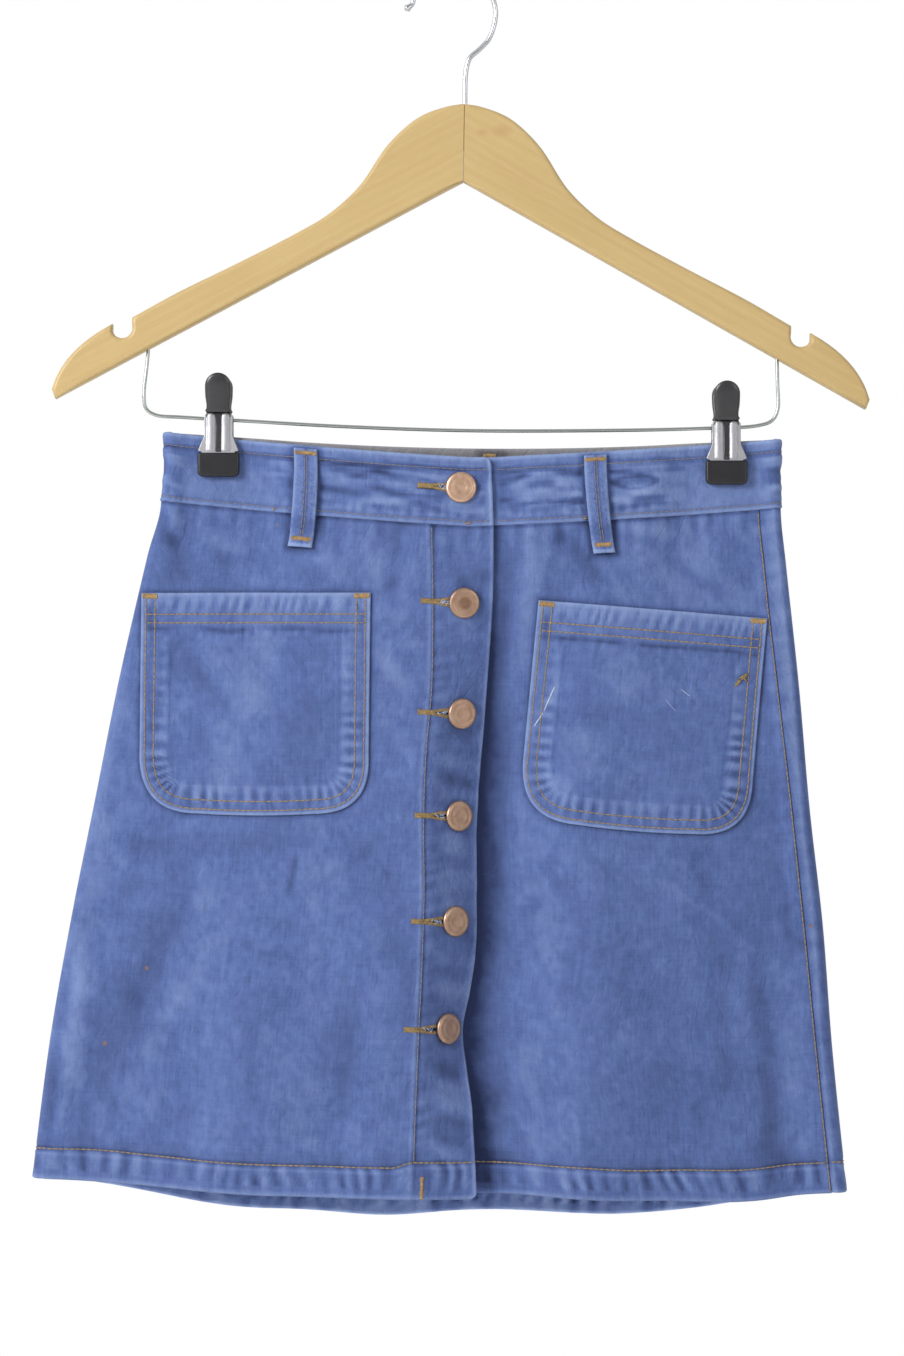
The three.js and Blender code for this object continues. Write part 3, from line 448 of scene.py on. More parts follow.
def place_on_loop(t, v):
    """A point of the outer face of the panels, t steps round the skirt."""
    t, v = (np.array(a) for a in np.broadcast_arrays(np.asarray(t, float), np.asarray(v, float)))
    at = np.mod(t, ROUND)
    fold = read(SECTIONS, "fold", v)
    left = read(SECTIONS, "left", v) + fold
    right = read(SECTIONS, "right", v) - fold
    seam, edge = read(OPENING, "seam", v), read(OPENING, "edge", v)
    side_seam = right - read(SIDE_SEAM_FRONT, "inset", v)
    walls = {
        "backLeft": (BACK, left + SIDE_SEAM_BACK, left),
        "frontLeft": (FRONT, left, seam),
        "faced": (FRONT, seam, edge),
        "valley": (FRONT, edge, edge + VALLEY_SPAN),
        "frontRight": (FRONT, edge + VALLEY_SPAN, side_seam),
        "seamRight": (FRONT, side_seam, right),
        "back": (BACK, right, left + SIDE_SEAM_BACK),
    }
    points = np.zeros(at.shape + (3,))
    for name, steps in SPANS:
        here = (at >= START[name]) & (at < START[name] + steps)
        if not here.any():
            continue
        s = (at[here] - START[name]) / steps
        if name in walls:
            side, start, end = walls[name]
            points[here] = wall_point(side, mix(start[here], end[here], s), v[here])
            continue
        on_left = name == "foldLeft"
        angle = math.pi * (0.5 - s) if on_left else math.pi * (s - 0.5)
        swing = fold[here] * np.cos(angle)
        x = left[here] - swing if on_left else right[here] + swing
        level = height(FRONT, 0.0 if on_left else 1.0, v[here])
        points[here] = np.stack([x, fold[here] * np.sin(angle), level], axis=-1)
    return points


def normal_at(point, t, v):
    """Outward direction of the cloth. point is a function of two places along the cloth."""
    step = 1e-3
    across = point(t + step, v) - point(t - step, v)
    down = point(t, np.minimum(v + step, 1)) - point(t, np.maximum(v - step, -1))
    return unit(np.cross(down, across))


def length_table(v):
    """Distance along the loop at one height, for places over two rounds."""
    places = np.linspace(-1, 2 * ROUND, 6000)
    points = place_on_loop(places, np.full(places.shape, float(v)))
    steps = np.linalg.norm(np.diff(points, axis=0), axis=1)
    return places, np.concatenate([[0], np.cumsum(steps)])


HEM_LENGTHS = length_table(1)
WAIST_LENGTHS = length_table(0)
BAND_LENGTHS = length_table(-0.5)


def along(lengths, t):
    """Distance along the loop at a place."""
    return np.interp(t, *lengths)


def place_at(lengths, distance):
    """The place at a distance along the loop."""
    return np.interp(distance, lengths[1], lengths[0])


# Fine form of the cloth
def strokes(rows, side, x, z, wander):
    """Sum of the soft strokes of a table at places of one side."""
    total = np.zeros(np.broadcast(x, z).shape)
    for row in rows_of(rows):
        if row["side"] != side:
            continue
        run = np.array([row["x1"] - row["x0"], row["z1"] - row["z0"]], float)
        size = np.hypot(*run)
        dx, dz = x - row["x0"], z - row["z0"]
        forth = (dx * run[0] + dz * run[1]) / size
        wave = noise(forth / 9, row["x0"] * 0.37 + row["z0"] * 0.11, 6)
        across = (dx * run[1] - dz * run[0]) / size + wander * wave
        beyond = np.maximum(np.maximum(-forth, forth - size), 0)
        away = (across / row["width"]) ** 2 + (beyond / (0.7 * row["width"] + 0.12 * size)) ** 2
        total = total + row["height"] * np.exp(-away / 2)
    return total


def soft_relief(side, x, v, z):
    """Low uneven waves and the listed creases, shared by a panel and what lies on it."""
    relief = 0.5 * noise(x / 46, z / 74, 1 + side) + 0.3 * noise(x / 19, z / 37, 4 + side)
    relief = relief + 0.1 * noise(x / 7, z / 10, 7 + side) + strokes(CREASES, side, x, z, 0.7)
    u = share_across(x, v)
    clear = smooth(u / 0.03) * smooth((1 - u) / 0.03) * (1 - pinched(x, v))
    return relief * clear


def wash(side, x, z):
    """Uneven fading of the cloth by listed patches and mottling."""
    patches = strokes(TONES, side, x, z, 2.0) * np.where(x > 20, 0.7, 0.85)
    mottle = 0.05 * noise(x / 14, z / 17, 101) + 0.07 * noise(x / 6, z / 7.5, 103) + 0.1 * noise(x / 2.6, z / 3.6, 105)
    return patches + mottle


def pucker_wave(distance, pitch, seed, minor=0.4, stray=0.8):
    """An uneven wave along a seam: its pitch, height and sharpness change as it goes."""
    phase = distance / pitch + stray * noise(distance / (2.3 * pitch), 0.5, seed)
    size = 0.4 + 0.6 * smooth(0.5 + 0.9 * noise(distance / (1.3 * pitch), 3.5, seed))
    small = minor * np.sin(4.3 * math.pi * phase + 1.0) * (1 - size)
    return np.sin(2 * math.pi * phase) * size + small


def hem_line(t):
    """Height of the hem's stitch line above the edge. It wanders, and climbs on the doubled edge."""
    climb = 3.2 * smooth((t - START["faced"] + 0.6) / 0.6) * (t <= START["valley"])
    return HEM_DEPTH + climb + 0.45 * noise(along(HEM_LENGTHS, t) / 34, 0.5, 15)


def hem_relief(t, v):
    """Puckers of the turned hem, with the groove and ridge of its stitches."""
    up, line = (1 - v) * PANEL_LENGTH, hem_line(t)
    lean = HEM_PUCKER["lean"] + 0.3 * noise(along(HEM_LENGTHS, t) / 31, up / 14, 13)
    distance = along(HEM_LENGTHS, t) + lean * np.minimum(up, line + 6)
    above = np.exp(-np.maximum(up - line, 0) / HEM_PUCKER["above"])
    share = np.where(up < line, smooth((line + 1.5 - up) / 3), 0.2 * above)
    share = share * (0.3 + 0.7 * smooth((up - 0.5) / 5)) * (0.75 + 0.5 * noise(distance / 23, up / 9, 12))
    wave = pucker_wave(distance, HEM_PUCKER["pitch"], 11)
    groove = STITCH["groove"] * np.exp(-(((up - line) / 1.1) ** 2) / 2)
    ridge = 0.25 * bell(up - line + 2.2, 1.2)
    return HEM_PUCKER["height"] * wave * share - groove + ridge


def waist_relief(t, v):
    """Small gathers below the waistband seam."""
    below = v * PANEL_LENGTH
    share = bell(below, SEAM_PUCKER["below"])
    return SEAM_PUCKER["height"] * pucker_wave(along(WAIST_LENGTHS, t), SEAM_PUCKER["pitch"], 21) * share


def seam_groove(distance, width=1.0):
    """The groove that a row of stitches draws into the cloth."""
    return -STITCH["groove"] * np.exp(-((distance / width) ** 2) / 2)


def facing_relief(x, v):
    """The doubled edge: a step at its stitch line, a groove, and short puckers beside it."""
    seam, edge = read(OPENING, "seam", v), read(OPENING, "edge", v)
    beside = x - seam
    z = v * PANEL_LENGTH
    step = 0.35 * smooth((beside + 3.5) / 1.5) * (1 - smooth((beside + 0.5) / 1.5))
    right = bell(beside, FACING_PUCKER["reach"]) * smooth((beside + 1) / 2)
    left = 0.5 * bell(beside, 5) * smooth((-beside - 2) / 2)
    wave = pucker_wave(z + 0.3 * beside, FACING_PUCKER["pitch"], 31) * FACING_PUCKER["height"]
    broad = 0.5 * noise(z / 9 - beside / 30, beside / 19, 33) * smooth((beside - 3) / 12) * (beside > 0)
    rim = 0.2 * smooth((beside - (edge - seam) + 3) / 2)
    return step + wave * (right + left) + broad * smooth((v - 0.03) / 0.05) + seam_groove(beside, 0.9) + rim


def side_seam_relief(t, v, place, lengths):
    """A lapped side seam: a groove with low puckers on the stitched side."""
    beside = along(lengths, t) - along(lengths, place)
    wave = 0.22 * pucker_wave(v * PANEL_LENGTH, 11, 41)
    return seam_groove(beside, 0.9) + wave * bell(beside, 5)


def bend_through(a, control, b, count):
    """Points of a quadratic curve, without its first one."""
    s = np.linspace(0, 1, count + 1)[1:, None]
    a, control, b = np.array(a, float), np.array(control, float), np.array(b, float)
    return (1 - s) ** 2 * a + 2 * s * (1 - s) * control + s ** 2 * b


def pocket_foot(count=48):
    """The sides' lower ends, the corners and the lower edge of a pocket, from left to right."""
    half, tall, corner = POCKET["width"] / 2, POCKET["height"], POCKET["corner"]
    first = (-half - POCKET["lean"], corner - tall)
    points = [np.array([first], float)]
    points.append(bend_through(first, (-half, -tall), (corner - half, -tall), count))
    points.append(bend_through((corner - half, -tall), (0, -tall - POCKET["sag"]), (half - corner, -tall), count))
    last = (half - POCKET["lean"], corner - tall)
    points.append(bend_through((half - corner, -tall), (half, -tall), last, count))
    return np.concatenate(points)


def to_pocket(pocket, x, z):
    """A place in the front view, measured from the middle of a pocket's mouth."""
    turn = math.radians(pocket["turn"])
    dx, dz = x - pocket["x"], z - pocket["z"]
    return dx * math.cos(turn) + dz * math.sin(turn), dz * math.cos(turn) - dx * math.sin(turn)


def line_place(a, b, line):
    """Distance of places to an open line of points, and how far along the line the nearest point lies."""
    near, place, passed = np.full(np.shape(a), 1e9), np.zeros(np.shape(a)), 0.0
    for p, q in zip(line[:-1], line[1:]):
        run = q - p
        s = np.clip(((a - p[0]) * run[0] + (b - p[1]) * run[1]) / (run @ run), 0, 1)
        away = np.hypot(a - p[0] - s * run[0], b - p[1] - s * run[1])
        place = np.where(away < near, passed + s * np.hypot(*run), place)
        near = np.minimum(near, away)
        passed += np.hypot(*run)
    return near, place


def line_distance(a, b, line):
    return line_place(a, b, line)[0]


def at_shares(line, shares):
    """Points of an open line at shares of its length."""
    run = np.concatenate([[0], np.cumsum(np.linalg.norm(np.diff(line, axis=0), axis=1))])
    return np.stack([np.interp(shares * run[-1], run, line[:, k]) for k in range(line.shape[1])], 1)


def pocket_sides(count=10):
    half = POCKET["width"] / 2
    return np.concatenate([[(-half, 0)], pocket_foot(count), [(half, 0)]])


def pocket_depth(pocket, x, z):
    """Distance to the outline of a pocket: more than 0 inside it and less than 0 outside."""
    a, b = to_pocket(pocket, x, z)
    ring = np.concatenate([pocket_sides(), pocket_sides()[:1]])
    inside = np.zeros(np.shape(a), bool)
    for p, q in zip(ring[:-1], ring[1:]):
        crossing = (p[1] > b) != (q[1] > b)
        meet = p[0] + (b - p[1]) * (q[0] - p[0]) / np.where(q[1] == p[1], 1e9, q[1] - p[1])
        inside ^= crossing & (a < meet)
    near = line_distance(a, b, ring)
    return np.where(inside, near, -near)


def in_pocket(x, z):
    """1 where a pocket lies over the panel, fading to 0 outside its outline."""
    cover = [smooth((pocket_depth(pocket, x, z) + 2) / 3) for pocket in rows_of(POCKETS)]
    return np.maximum(*cover)


def beside_pocket(x, z):
    """1 next to the outline of a pocket, on the panel, fading to 0 away from it."""
    near = [bell(np.minimum(pocket_depth(p, x, z), 0), 1.9) for p in rows_of(POCKETS)]
    return np.maximum(*near)


def loop_middle(loop, s):
    s = np.clip(s, 0, 1)
    return mix(loop["top"], loop["foot"], s) + 4 * loop["bow"] * s * (1 - s)


def loop_half(loop, s):
    return mix(loop["topWidth"], loop["footWidth"], s) / 2


def loop_share(v):
    """How far down a belt loop a place of the wall lies, from 0 to 1."""
    below = np.where(v < 0, (v + 1) * BAND_HEIGHT, BAND_HEIGHT + v * PANEL_LENGTH)
    return (below - LOOP["start"]) / LOOP["length"]


def under_loop(side, x, v, spread=2.5):
    """1 under a belt loop, fading to 0 beside it."""
    cover = np.zeros(np.broadcast(x, v).shape)
    for loop in rows_of(BELT_LOOPS):
        if loop["side"] != side:
            continue
        s = loop_share(v)
        beside = loop_half(loop, np.clip(s, 0, 1)) - np.abs(x - loop_middle(loop, s))
        ends = np.minimum(s, 1 - s) * LOOP["length"]
        cover = np.maximum(cover, smooth((np.minimum(beside, ends) + spread) / spread))
    return cover


def on_front(t):
    """Whether a place lies on the front wall, counted from the middles of the side folds."""
    at = np.mod(t, ROUND)
    left, right = (START[fold] + STEPS[fold] / 2 for fold in ("foldLeft", "foldRight"))
    return (at >= left) & (at < right)


def by_side(t, find):
    """Front values on the front wall and back values on the back wall."""
    return np.where(on_front(t), find(FRONT), find(BACK))


def soft_at(t, v):
    """The soft relief at places of a panel, and the share that no pocket or loop covers."""
    point = place_on_loop(t, v)
    x, z = point[..., 0], point[..., 2]
    loops = by_side(t, lambda side: under_loop(side, x, v))
    bare = 1 - np.maximum(in_pocket(x, z) * on_front(t), loops)
    return by_side(t, lambda side: soft_relief(side, x, v, z)), bare, x, z


def rounded(away, radius):
    """How far a face turns in, or a corner rises, at a distance from its edge."""
    d = np.clip(away, 0, radius)
    return radius - np.sqrt(np.maximum(radius ** 2 - (radius - d) ** 2, 0))


def underlap(t, v, drop):
    """Offset of the layer that runs under the doubled edge and comes up to its level beside it."""
    away = np.maximum((t - START["valley"]) * VALLEY_SPAN / STEPS["valley"], 0)
    layer = drop * (1 - smooth(away / UNDERLAP_RISE))
    return -layer - read(OPENING, "gape", v) * (1 - smooth(away / GAPE_RISE))


def hem_thick(v):
    """Thickness of a panel: double in the turned hem."""
    return mix(DENIM, HEM_THICK, smooth(((v - 1) * PANEL_LENGTH + HEM_DEPTH + 1) / 1.5))


# Outer offsets of the panels, each with the fine part that also fades the colour
def left_form(t, v):
    soft, bare, x, _ = soft_at(t, v)
    turned = START["foldLeft"] + STEPS["foldLeft"] / 2
    fine = hem_relief(t, v) + waist_relief(t, v) + facing_relief(x, v) * (t > turned)
    fine = fine + side_seam_relief(t, v, 0, HEM_LENGTHS) * (t < turned)
    return soft, fine * bare


def right_form(t, v):
    soft, bare = soft_at(t, v)[:2]
    shown = smooth((t - START["valley"]) / 0.8)
    fine = (hem_relief(t, v) + waist_relief(t, v)) * shown
    fine = fine + side_seam_relief(t, v, START["seamRight"], HEM_LENGTHS)
    return soft + underlap(t, v, FACED_THICK + LAYER_GAP), fine * bare


def back_form(t, v):
    soft, bare = soft_at(t, v)[:2]
    fine = hem_relief(t, v) + waist_relief(t, v)
    fine = fine + side_seam_relief(t, v, START["seamRight"], HEM_LENGTHS)
    return soft, (fine + side_seam_relief(t, v, ROUND, HEM_LENGTHS)) * bare


BAND_STITCH_TOP = 7
BAND_STITCH_FOOT = 35.2


def band_form(t, v):
    """The waistband: long wrinkles between its stitch rows, where no clip or loop presses it."""
    point = place_on_loop(t, v)
    x = point[..., 0]
    down = (v + 1) * BAND_HEIGHT
    distance = along(BAND_LENGTHS, t)
    free = 1 - pinched(x, v)
    body = smooth((down - 5) / 5) * smooth((BAND_HEIGHT - 3 - down) / 6)
    wander = down + 1.5 * noise(distance / 23, 0.5, 54)
    wrinkles = 0.34 * noise(distance / 21, wander / 5.2, 51) + 0.3 * noise(distance / 11, wander / 3.1, 52)
    cracks = smooth(1 - np.abs(noise(distance / 26, wander / 7, 55)) * 4)
    wrinkles = (wrinkles - 0.26 * cracks) * (1 + 0.5 * smooth((x - 30) / 20))
    cords = 0.16 * pucker_wave(distance, 7.5, 53) * bell(down - 33, 4)
    lines = np.sin(2 * math.pi * (wander / 3.3 + 0.35 * noise(distance / 15, 0.5, 58)))
    lip = 0.3 * bell(down - 2.2, 1.6) + 0.13 * lines * bell(down - 8, 6)
    groove = seam_groove(down - BAND_STITCH_TOP, 0.8) + seam_groove(down - BAND_STITCH_FOOT, 0.8)
    under = np.where(t < ROUND, underlap(t, -1.0, BAND_THICK + LAYER_GAP), 0)
    shown = np.where(t < ROUND, smooth((t - START["valley"]) / 0.8), 1)
    loops = by_side(t, lambda side: under_loop(side, x, v))
    fine = (wrinkles * body + cords + lip) * free * shown
    return BAND_PROUD + under, (fine + groove * shown * 0.8) * (1 - loops)


# Where the hem of a panel hangs higher or lower: its middle X, reach and rise
HEM_SHIFTS = table(
    "form x reach rise", (right_form, 10, 52, 4.4), (right_form, 160, 33, -3.2), (back_form, -44, 42, -3.8)
)


def hung_point(form, t, v):
    """A place of a panel on the hanging shape, with its uneven hem."""
    point = place_on_loop(t, v)
    for shift in rows_of(HEM_SHIFTS):
        if shift["form"] is form:
            near = bell(point[..., 0] - shift["x"], shift["reach"])
            point[..., 2] += shift["rise"] * near * smooth((v - 0.35) / 0.65)
    return point


def surface(form, t, v):
    """Points of the finished outer face of a panel, and its outward directions."""
    point = hung_point(form, t, v)
    normal = normal_at(place_on_loop, t, v)
    base, fine = form(t, v)
    return point + normal * (base + fine)[..., None], normal


# Making meshes
def new_object(name, mesh):
    made = bpy.data.objects.new(name, mesh)
    bpy.context.scene.collection.objects.link(made)
    return made


def quad_mesh(name, points, quads, materials, uv=None, fade=None, slots=None):
    """A smooth mesh of four-sided faces. Points are millimetres, uv is metres."""
    points = np.asarray(points, float).reshape(-1, 3)
    quads = np.asarray(quads, np.int32).reshape(-1, 4)
    mesh = bpy.data.meshes.new(name)
    mesh.vertices.add(len(points))
    mesh.vertices.foreach_set("co", (points * MM).astype(np.float32).ravel())
    mesh.loops.add(quads.size)
    mesh.loops.foreach_set("vertex_index", quads.ravel())
    mesh.polygons.add(len(quads))
    mesh.polygons.foreach_set("loop_start", np.arange(0, quads.size, 4, dtype=np.int32))
    for material in materials:
        mesh.materials.append(material)
    if slots is not None:
        mesh.polygons.foreach_set("material_index", np.asarray(slots, np.int32))
    mesh.update(calc_edges=True)
    mesh.polygons.foreach_set("use_smooth", np.ones(len(quads), bool))
    if uv is not None:
        layer = mesh.uv_layers.new(name="UVMap")
        layer.data.foreach_set("uv", np.asarray(uv, np.float32).reshape(-1, 2)[quads.ravel()].ravel())
    if fade is not None:
        # fade holds the wash and wear together with painted shade, painted shadow and painted light
        attribute = mesh.attributes.new("fade", "FLOAT", "POINT")
        attribute.data.foreach_set("value", np.asarray(fade, np.float32).ravel())
    return new_object(name, mesh)


def grid_shell(name, outer, inner, materials, uv, fade, cut=None, turned=None, inner_fade_and_light=None):
    """Closes a grid of outer points and one of inner points into a thin wall.

    Cells marked in cut are open, and cells marked in turned show the face of the cloth on the inner side too.
    """
    columns, rows = outer.shape[:2]
    number = np.arange(columns * rows).reshape(columns, rows)
    kept = np.ones((columns - 1, rows - 1), bool) if cut is None else ~cut
    under = columns * rows

    def corners(i, j):
        return number[i, j], number[i, j + 1], number[i + 1, j + 1], number[i + 1, j]

    i, j = np.nonzero(kept)
    a, b, c, d = corners(i, j)
    faces = [np.stack([a, b, c, d], 1), np.stack([a + under, d + under, c + under, b + under], 1)]
    slots = [np.zeros(len(a)), np.ones(len(a)) if turned is None else 1 + turned[i, j]]
    padded = np.zeros((columns + 1, rows + 1), bool)
    padded[1:-1, 1:-1] = kept
    # A rim wall stands wherever a kept cell has no kept neighbour
    for di, dj, first, second in ((-1, 0, 0, 1), (1, 0, 2, 3), (0, -1, 3, 0), (0, 1, 1, 2)):
        lone = kept & ~padded[1 + di:columns + di, 1 + dj:rows + dj]
        i, j = np.nonzero(lone)
        ring = corners(i, j)
        p, q = ring[first], ring[second]
        faces.append(np.stack([q, p, p + under, q + under], 1))
        slots.append(np.zeros(len(p)))
    points = np.concatenate([outer.reshape(-1, 3), inner.reshape(-1, 3)])
    both = np.concatenate([uv.reshape(-1, 2)] * 2)
    quads = np.concatenate(faces)
    used = np.zeros(len(points), bool)
    used[quads.ravel()] = True
    renumber = np.cumsum(used) - 1
    fades = np.concatenate([fade.ravel(), (fade if inner_fade_and_light is None else inner_fade_and_light).ravel()])
    return quad_mesh(
        name, points[used], renumber[quads], materials, both[used], fades[used], np.concatenate(slots)
    )


def spaced(total, spacing, extra=()):
    """Distances from 0 to total, with closer ones at both ends and at the extra places."""
    even = np.linspace(0, total, int(round(total / spacing)) + 1)
    near = [*EDGE_STEPS, *(total - e for e in EDGE_STEPS), *extra]
    kept = [d for d in even if min([abs(d - n) for n in near]) > 0.35 * spacing or d in (0, total)]
    return np.unique(np.round(np.array(kept + near), 5))


def declare(piece, node, flat_grid=None, flat=None):
    """A finished piece: it moves with the part and stands for its solid, whose node it hides."""
    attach(piece, "root")
    if node:
        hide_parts(node)
    if flat_grid is not None:
        sides = np.linalg.norm(np.diff(flat_grid, axis=0), axis=-1).sum(axis=0)
        lengths = np.linalg.norm(np.diff(flat_grid, axis=1), axis=-1).sum(axis=1)
        flat = flat or (float(sides.max()) * MM, float(lengths.max()) * MM)


# Shader helpers
class Nodes:
    """Short names for the nodes of a material or of the world."""

    def __init__(self, tree):
        self.tree = tree

    def put(self, value, socket):
        if isinstance(value, bpy.types.NodeSocket):
            self.tree.links.new(value, socket)
        else:
            socket.default_value = value

    def add(self, kind, settings=None, **sockets):
        made = self.tree.nodes.new("ShaderNode" + kind)
        for key, value in (settings or {}).items():
            setattr(made, key, value)
        for key, value in sockets.items():
            numbered = key[0] == "i" and key[1:].isdigit()
            self.put(value, made.inputs[int(key[1:]) if numbered else key.replace("_", " ")])
        return made

    def uv(self):
        return self.add("UVMap", {"uv_map": "UVMap"}).outputs["UV"]

    def place(self):
        return self.add("TexCoord").outputs["Object"]

    def mapped(self, vector, scale):
        return self.add("Mapping", Vector=vector, Scale=scale).outputs["Vector"]

    def noise(self, vector, scale, detail=2.0, roughness=0.5):
        """Noise at one scale, or at a scale for each axis."""
        if isinstance(scale, tuple):
            vector, scale = self.mapped(vector, scale), 1.0
        return self.add("TexNoise", Vector=vector, Scale=scale, Detail=detail, Roughness=roughness).outputs["Fac"]

    def bands(self, vector, direction, **sockets):
        settings = {"wave_type": "BANDS", "bands_direction": direction}
        return self.add("TexWave", settings, Vector=vector, **sockets).outputs["Fac"]

    def math(self, operation, a, b=0.0, clamp=False):
        return self.add("Math", {"operation": operation, "use_clamp": clamp}, i0=a, i1=b).outputs[0]

    def times(self, a, b, clamp=False):
        return self.math("MULTIPLY", a, b, clamp)

    def plus(self, value, *parts):
        """Adds shares of other values to a value."""
        for part, share in parts:
            value = self.math("ADD", value, part if share == 1 else self.times(part, share))
        return value

    def share(self, value, low, high):
        """Stretches a value from low..high to 0..1."""
        return self.add("MapRange", Value=value, From_Min=low, From_Max=high).outputs["Result"]

    def between(self, value, low, high):
        """Stretches a value from 0..1 to low..high."""
        return self.add("MapRange", Value=value, To_Min=low, To_Max=high).outputs["Result"]

    def blend(self, share, a, b):
        made = self.add("Mix", {"data_type": "RGBA"}, i0=share)
        for value, socket in ((a, made.inputs[6]), (b, made.inputs[7])):
            self.put(value if isinstance(value, bpy.types.NodeSocket) else (*value, 1), socket)
        return made.outputs[2]

    def spot(self, mark, stretch, wobble, edge, core):
        """1 in the core of a mark, falling to 0 at its uneven edge. stretch makes it wider than tall."""
        flat = self.add("VectorMath", {"operation": "MULTIPLY"}, i0=self.place(), i1=(stretch, 0, 1))
        centre = (stretch * mark["x"] * MM, 0, mark["z"] * MM)
        away = self.add("VectorMath", {"operation": "DISTANCE"}, i0=flat.outputs[0], i1=centre)
        return self.share(self.plus(away.outputs["Value"], wobble), edge, core)


class Look(Nodes):
    """A material. What is the same all over it is set on its shader's own sockets."""

    def __init__(self, name, **sockets):
        self.material = bpy.data.materials.new(name)
        self.material.use_nodes = True
        super().__init__(self.material.node_tree)
        self.shader = self.tree.nodes["Principled BSDF"]
        for socket, value in sockets.items():
            self.shader.inputs[socket.replace("_", " ")].default_value = value

    def finish(self, colour, relief, strength, distance, roughness=None):
        bump = self.add("Bump", Strength=strength, Distance=distance, Height=relief)
        self.put(colour, self.shader.inputs["Base Color"])
        self.put(bump.outputs["Normal"], self.shader.inputs["Normal"])
        if roughness is not None:
            self.put(roughness, self.shader.inputs["Roughness"])
        return self.material


# Small marks: X, Z and size
SPECKS = table(
    "x z size", (-167.8, -546.3, 1.5), (-190.9, -587.5, 1.6), (196.4, -523.2, 1.4), (-96.0, -303.4, 0.9)
)
KNOTS = table("x z size", (27, -87, 4.5), (16, -88, 2.5))
MARK_EDGE = {"speck": 0.0006, "knot": 0.0015}


def denim_material(name, deep, pale, worn, dark, inside=False):
    """Washed twill: slubby warp, blotches, a diagonal rib, and crests that are worn paler than troughs."""
    look = Look(name, Roughness=0.92, Specular_IOR_Level=0.18, Sheen_Weight=0.12, Sheen_Roughness=0.5)
    uv = look.uv()
    blotch = look.noise(uv, (30, 20, 1), 4, 0.62)
    cloud = look.noise(uv, (230, 170, 1), 4, 0.68)
    warp = look.noise(uv, (900, 34, 1), 3, 0.6)
    weft = look.noise(uv, (50, 820, 1))
    grain = look.noise(uv, (1700, 1500, 1))
    hue = look.noise(uv, (70, 40, 1))
    tone = look.plus(look.times(blotch, 0.24), (cloud, 0.34), (warp, 0.24), (weft, 0.12), (grain, 0.1))
    colour = look.blend(look.share(tone, 0.37, 0.63), deep, pale)
    violet = (deep[0] * 1.45, deep[1] * 1.08, deep[2] * 1.18)
    colour = look.blend(look.times(look.share(hue, 0.5, 0.8), 0.35), colour, violet)
    fade = look.add("Attribute", {"attribute_name": "fade"}).outputs["Fac"]
    broken = look.math("ADD", 0.7, look.times(cloud, 0.6))
    # fade pales the cloth towards worn and darkens it towards dark: besides wash and wear it carries painted shade,
    # painted shadow and, on the turned hem, painted light
    colour = look.blend(look.times(look.math("MAXIMUM", fade), broken, True), colour, worn)
    colour = look.blend(look.times(look.math("MAXIMUM", look.times(fade, -1.0)), broken, True), colour, dark)
    if not inside:
        wobble = look.noise(look.place(), 900.0)
        for speck in rows_of(SPECKS):
            size = speck["size"] * MM + MARK_EDGE["speck"]
            spot = look.spot(speck, 1, (wobble, 0.0012), size, size * 0.55)
            colour = look.blend(look.times(spot, 0.85), colour, (0.19, 0.11, 0.06))
    rib = look.bands(
        look.mapped(uv, (1, 1, 0)), "DIAGONAL", Scale=330.0, Distortion=2.0, Detail=2.0, Detail_Scale=3.0
    )
    fold = look.math("ABSOLUTE", look.math("SUBTRACT", look.noise(uv, (75, 55, 1)), 0.5))
    relief = look.times(look.share(fold, 0.0, 0.05), 0.9)
    relief = look.plus(relief, (rib, 0.16), (warp, 0.5), (grain, 0.35), (cloud, 2.4), (weft, 0.4))
    return look.finish(colour, relief, 0.55, 0.0004)


def thread_material(name, colour, shade):
    """Spun thread: uneven colour with a fine twist."""
    look = Look(name, Roughness=0.75, Specular_IOR_Level=0.25)
    uneven = look.share(look.noise(look.place(), 420.0, 2, 0.6), 0.35, 0.65)
    twist = look.noise(look.place(), 3500.0, 1, 0.5)
    return look.finish(look.blend(uneven, colour, shade), twist, 0.4, 0.0001)


def copper_material(name, tone=1.0, centre=0.0):
    """Satin copper plate with fine turned rings and dull patches. centre is the radius of a tarnished middle."""
    look = Look(name, Metallic=0.85, Roughness=0.42)
    uv = look.uv()
    patches = look.noise(look.place(), 260.0, 4, 0.6)
    ring = look.bands(uv, "X", Scale=420.0, Distortion=0.6, Detail=1.0)
    bright, dull = ([c * tone for c in plate] for plate in ((0.62, 0.42, 0.3), (0.42, 0.26, 0.18)))
    colour = look.blend(look.share(patches, 0.3, 0.7), bright, dull)
    colour = look.blend(look.times(ring, 0.22), colour, (0.36, 0.2, 0.13))
    if centre:
        away = look.add("SeparateXYZ", Vector=uv).outputs["X"]
        middle = look.share(away, centre * 1.25, centre * 0.8)
        colour = look.blend(look.times(middle, 0.8), colour, (0.2, 0.11, 0.07))
    relief = look.plus(look.times(ring, 0.5), (patches, 1))
    return look.finish(colour, relief, 0.3, 0.0002, look.between(patches, 0.34, 0.52))


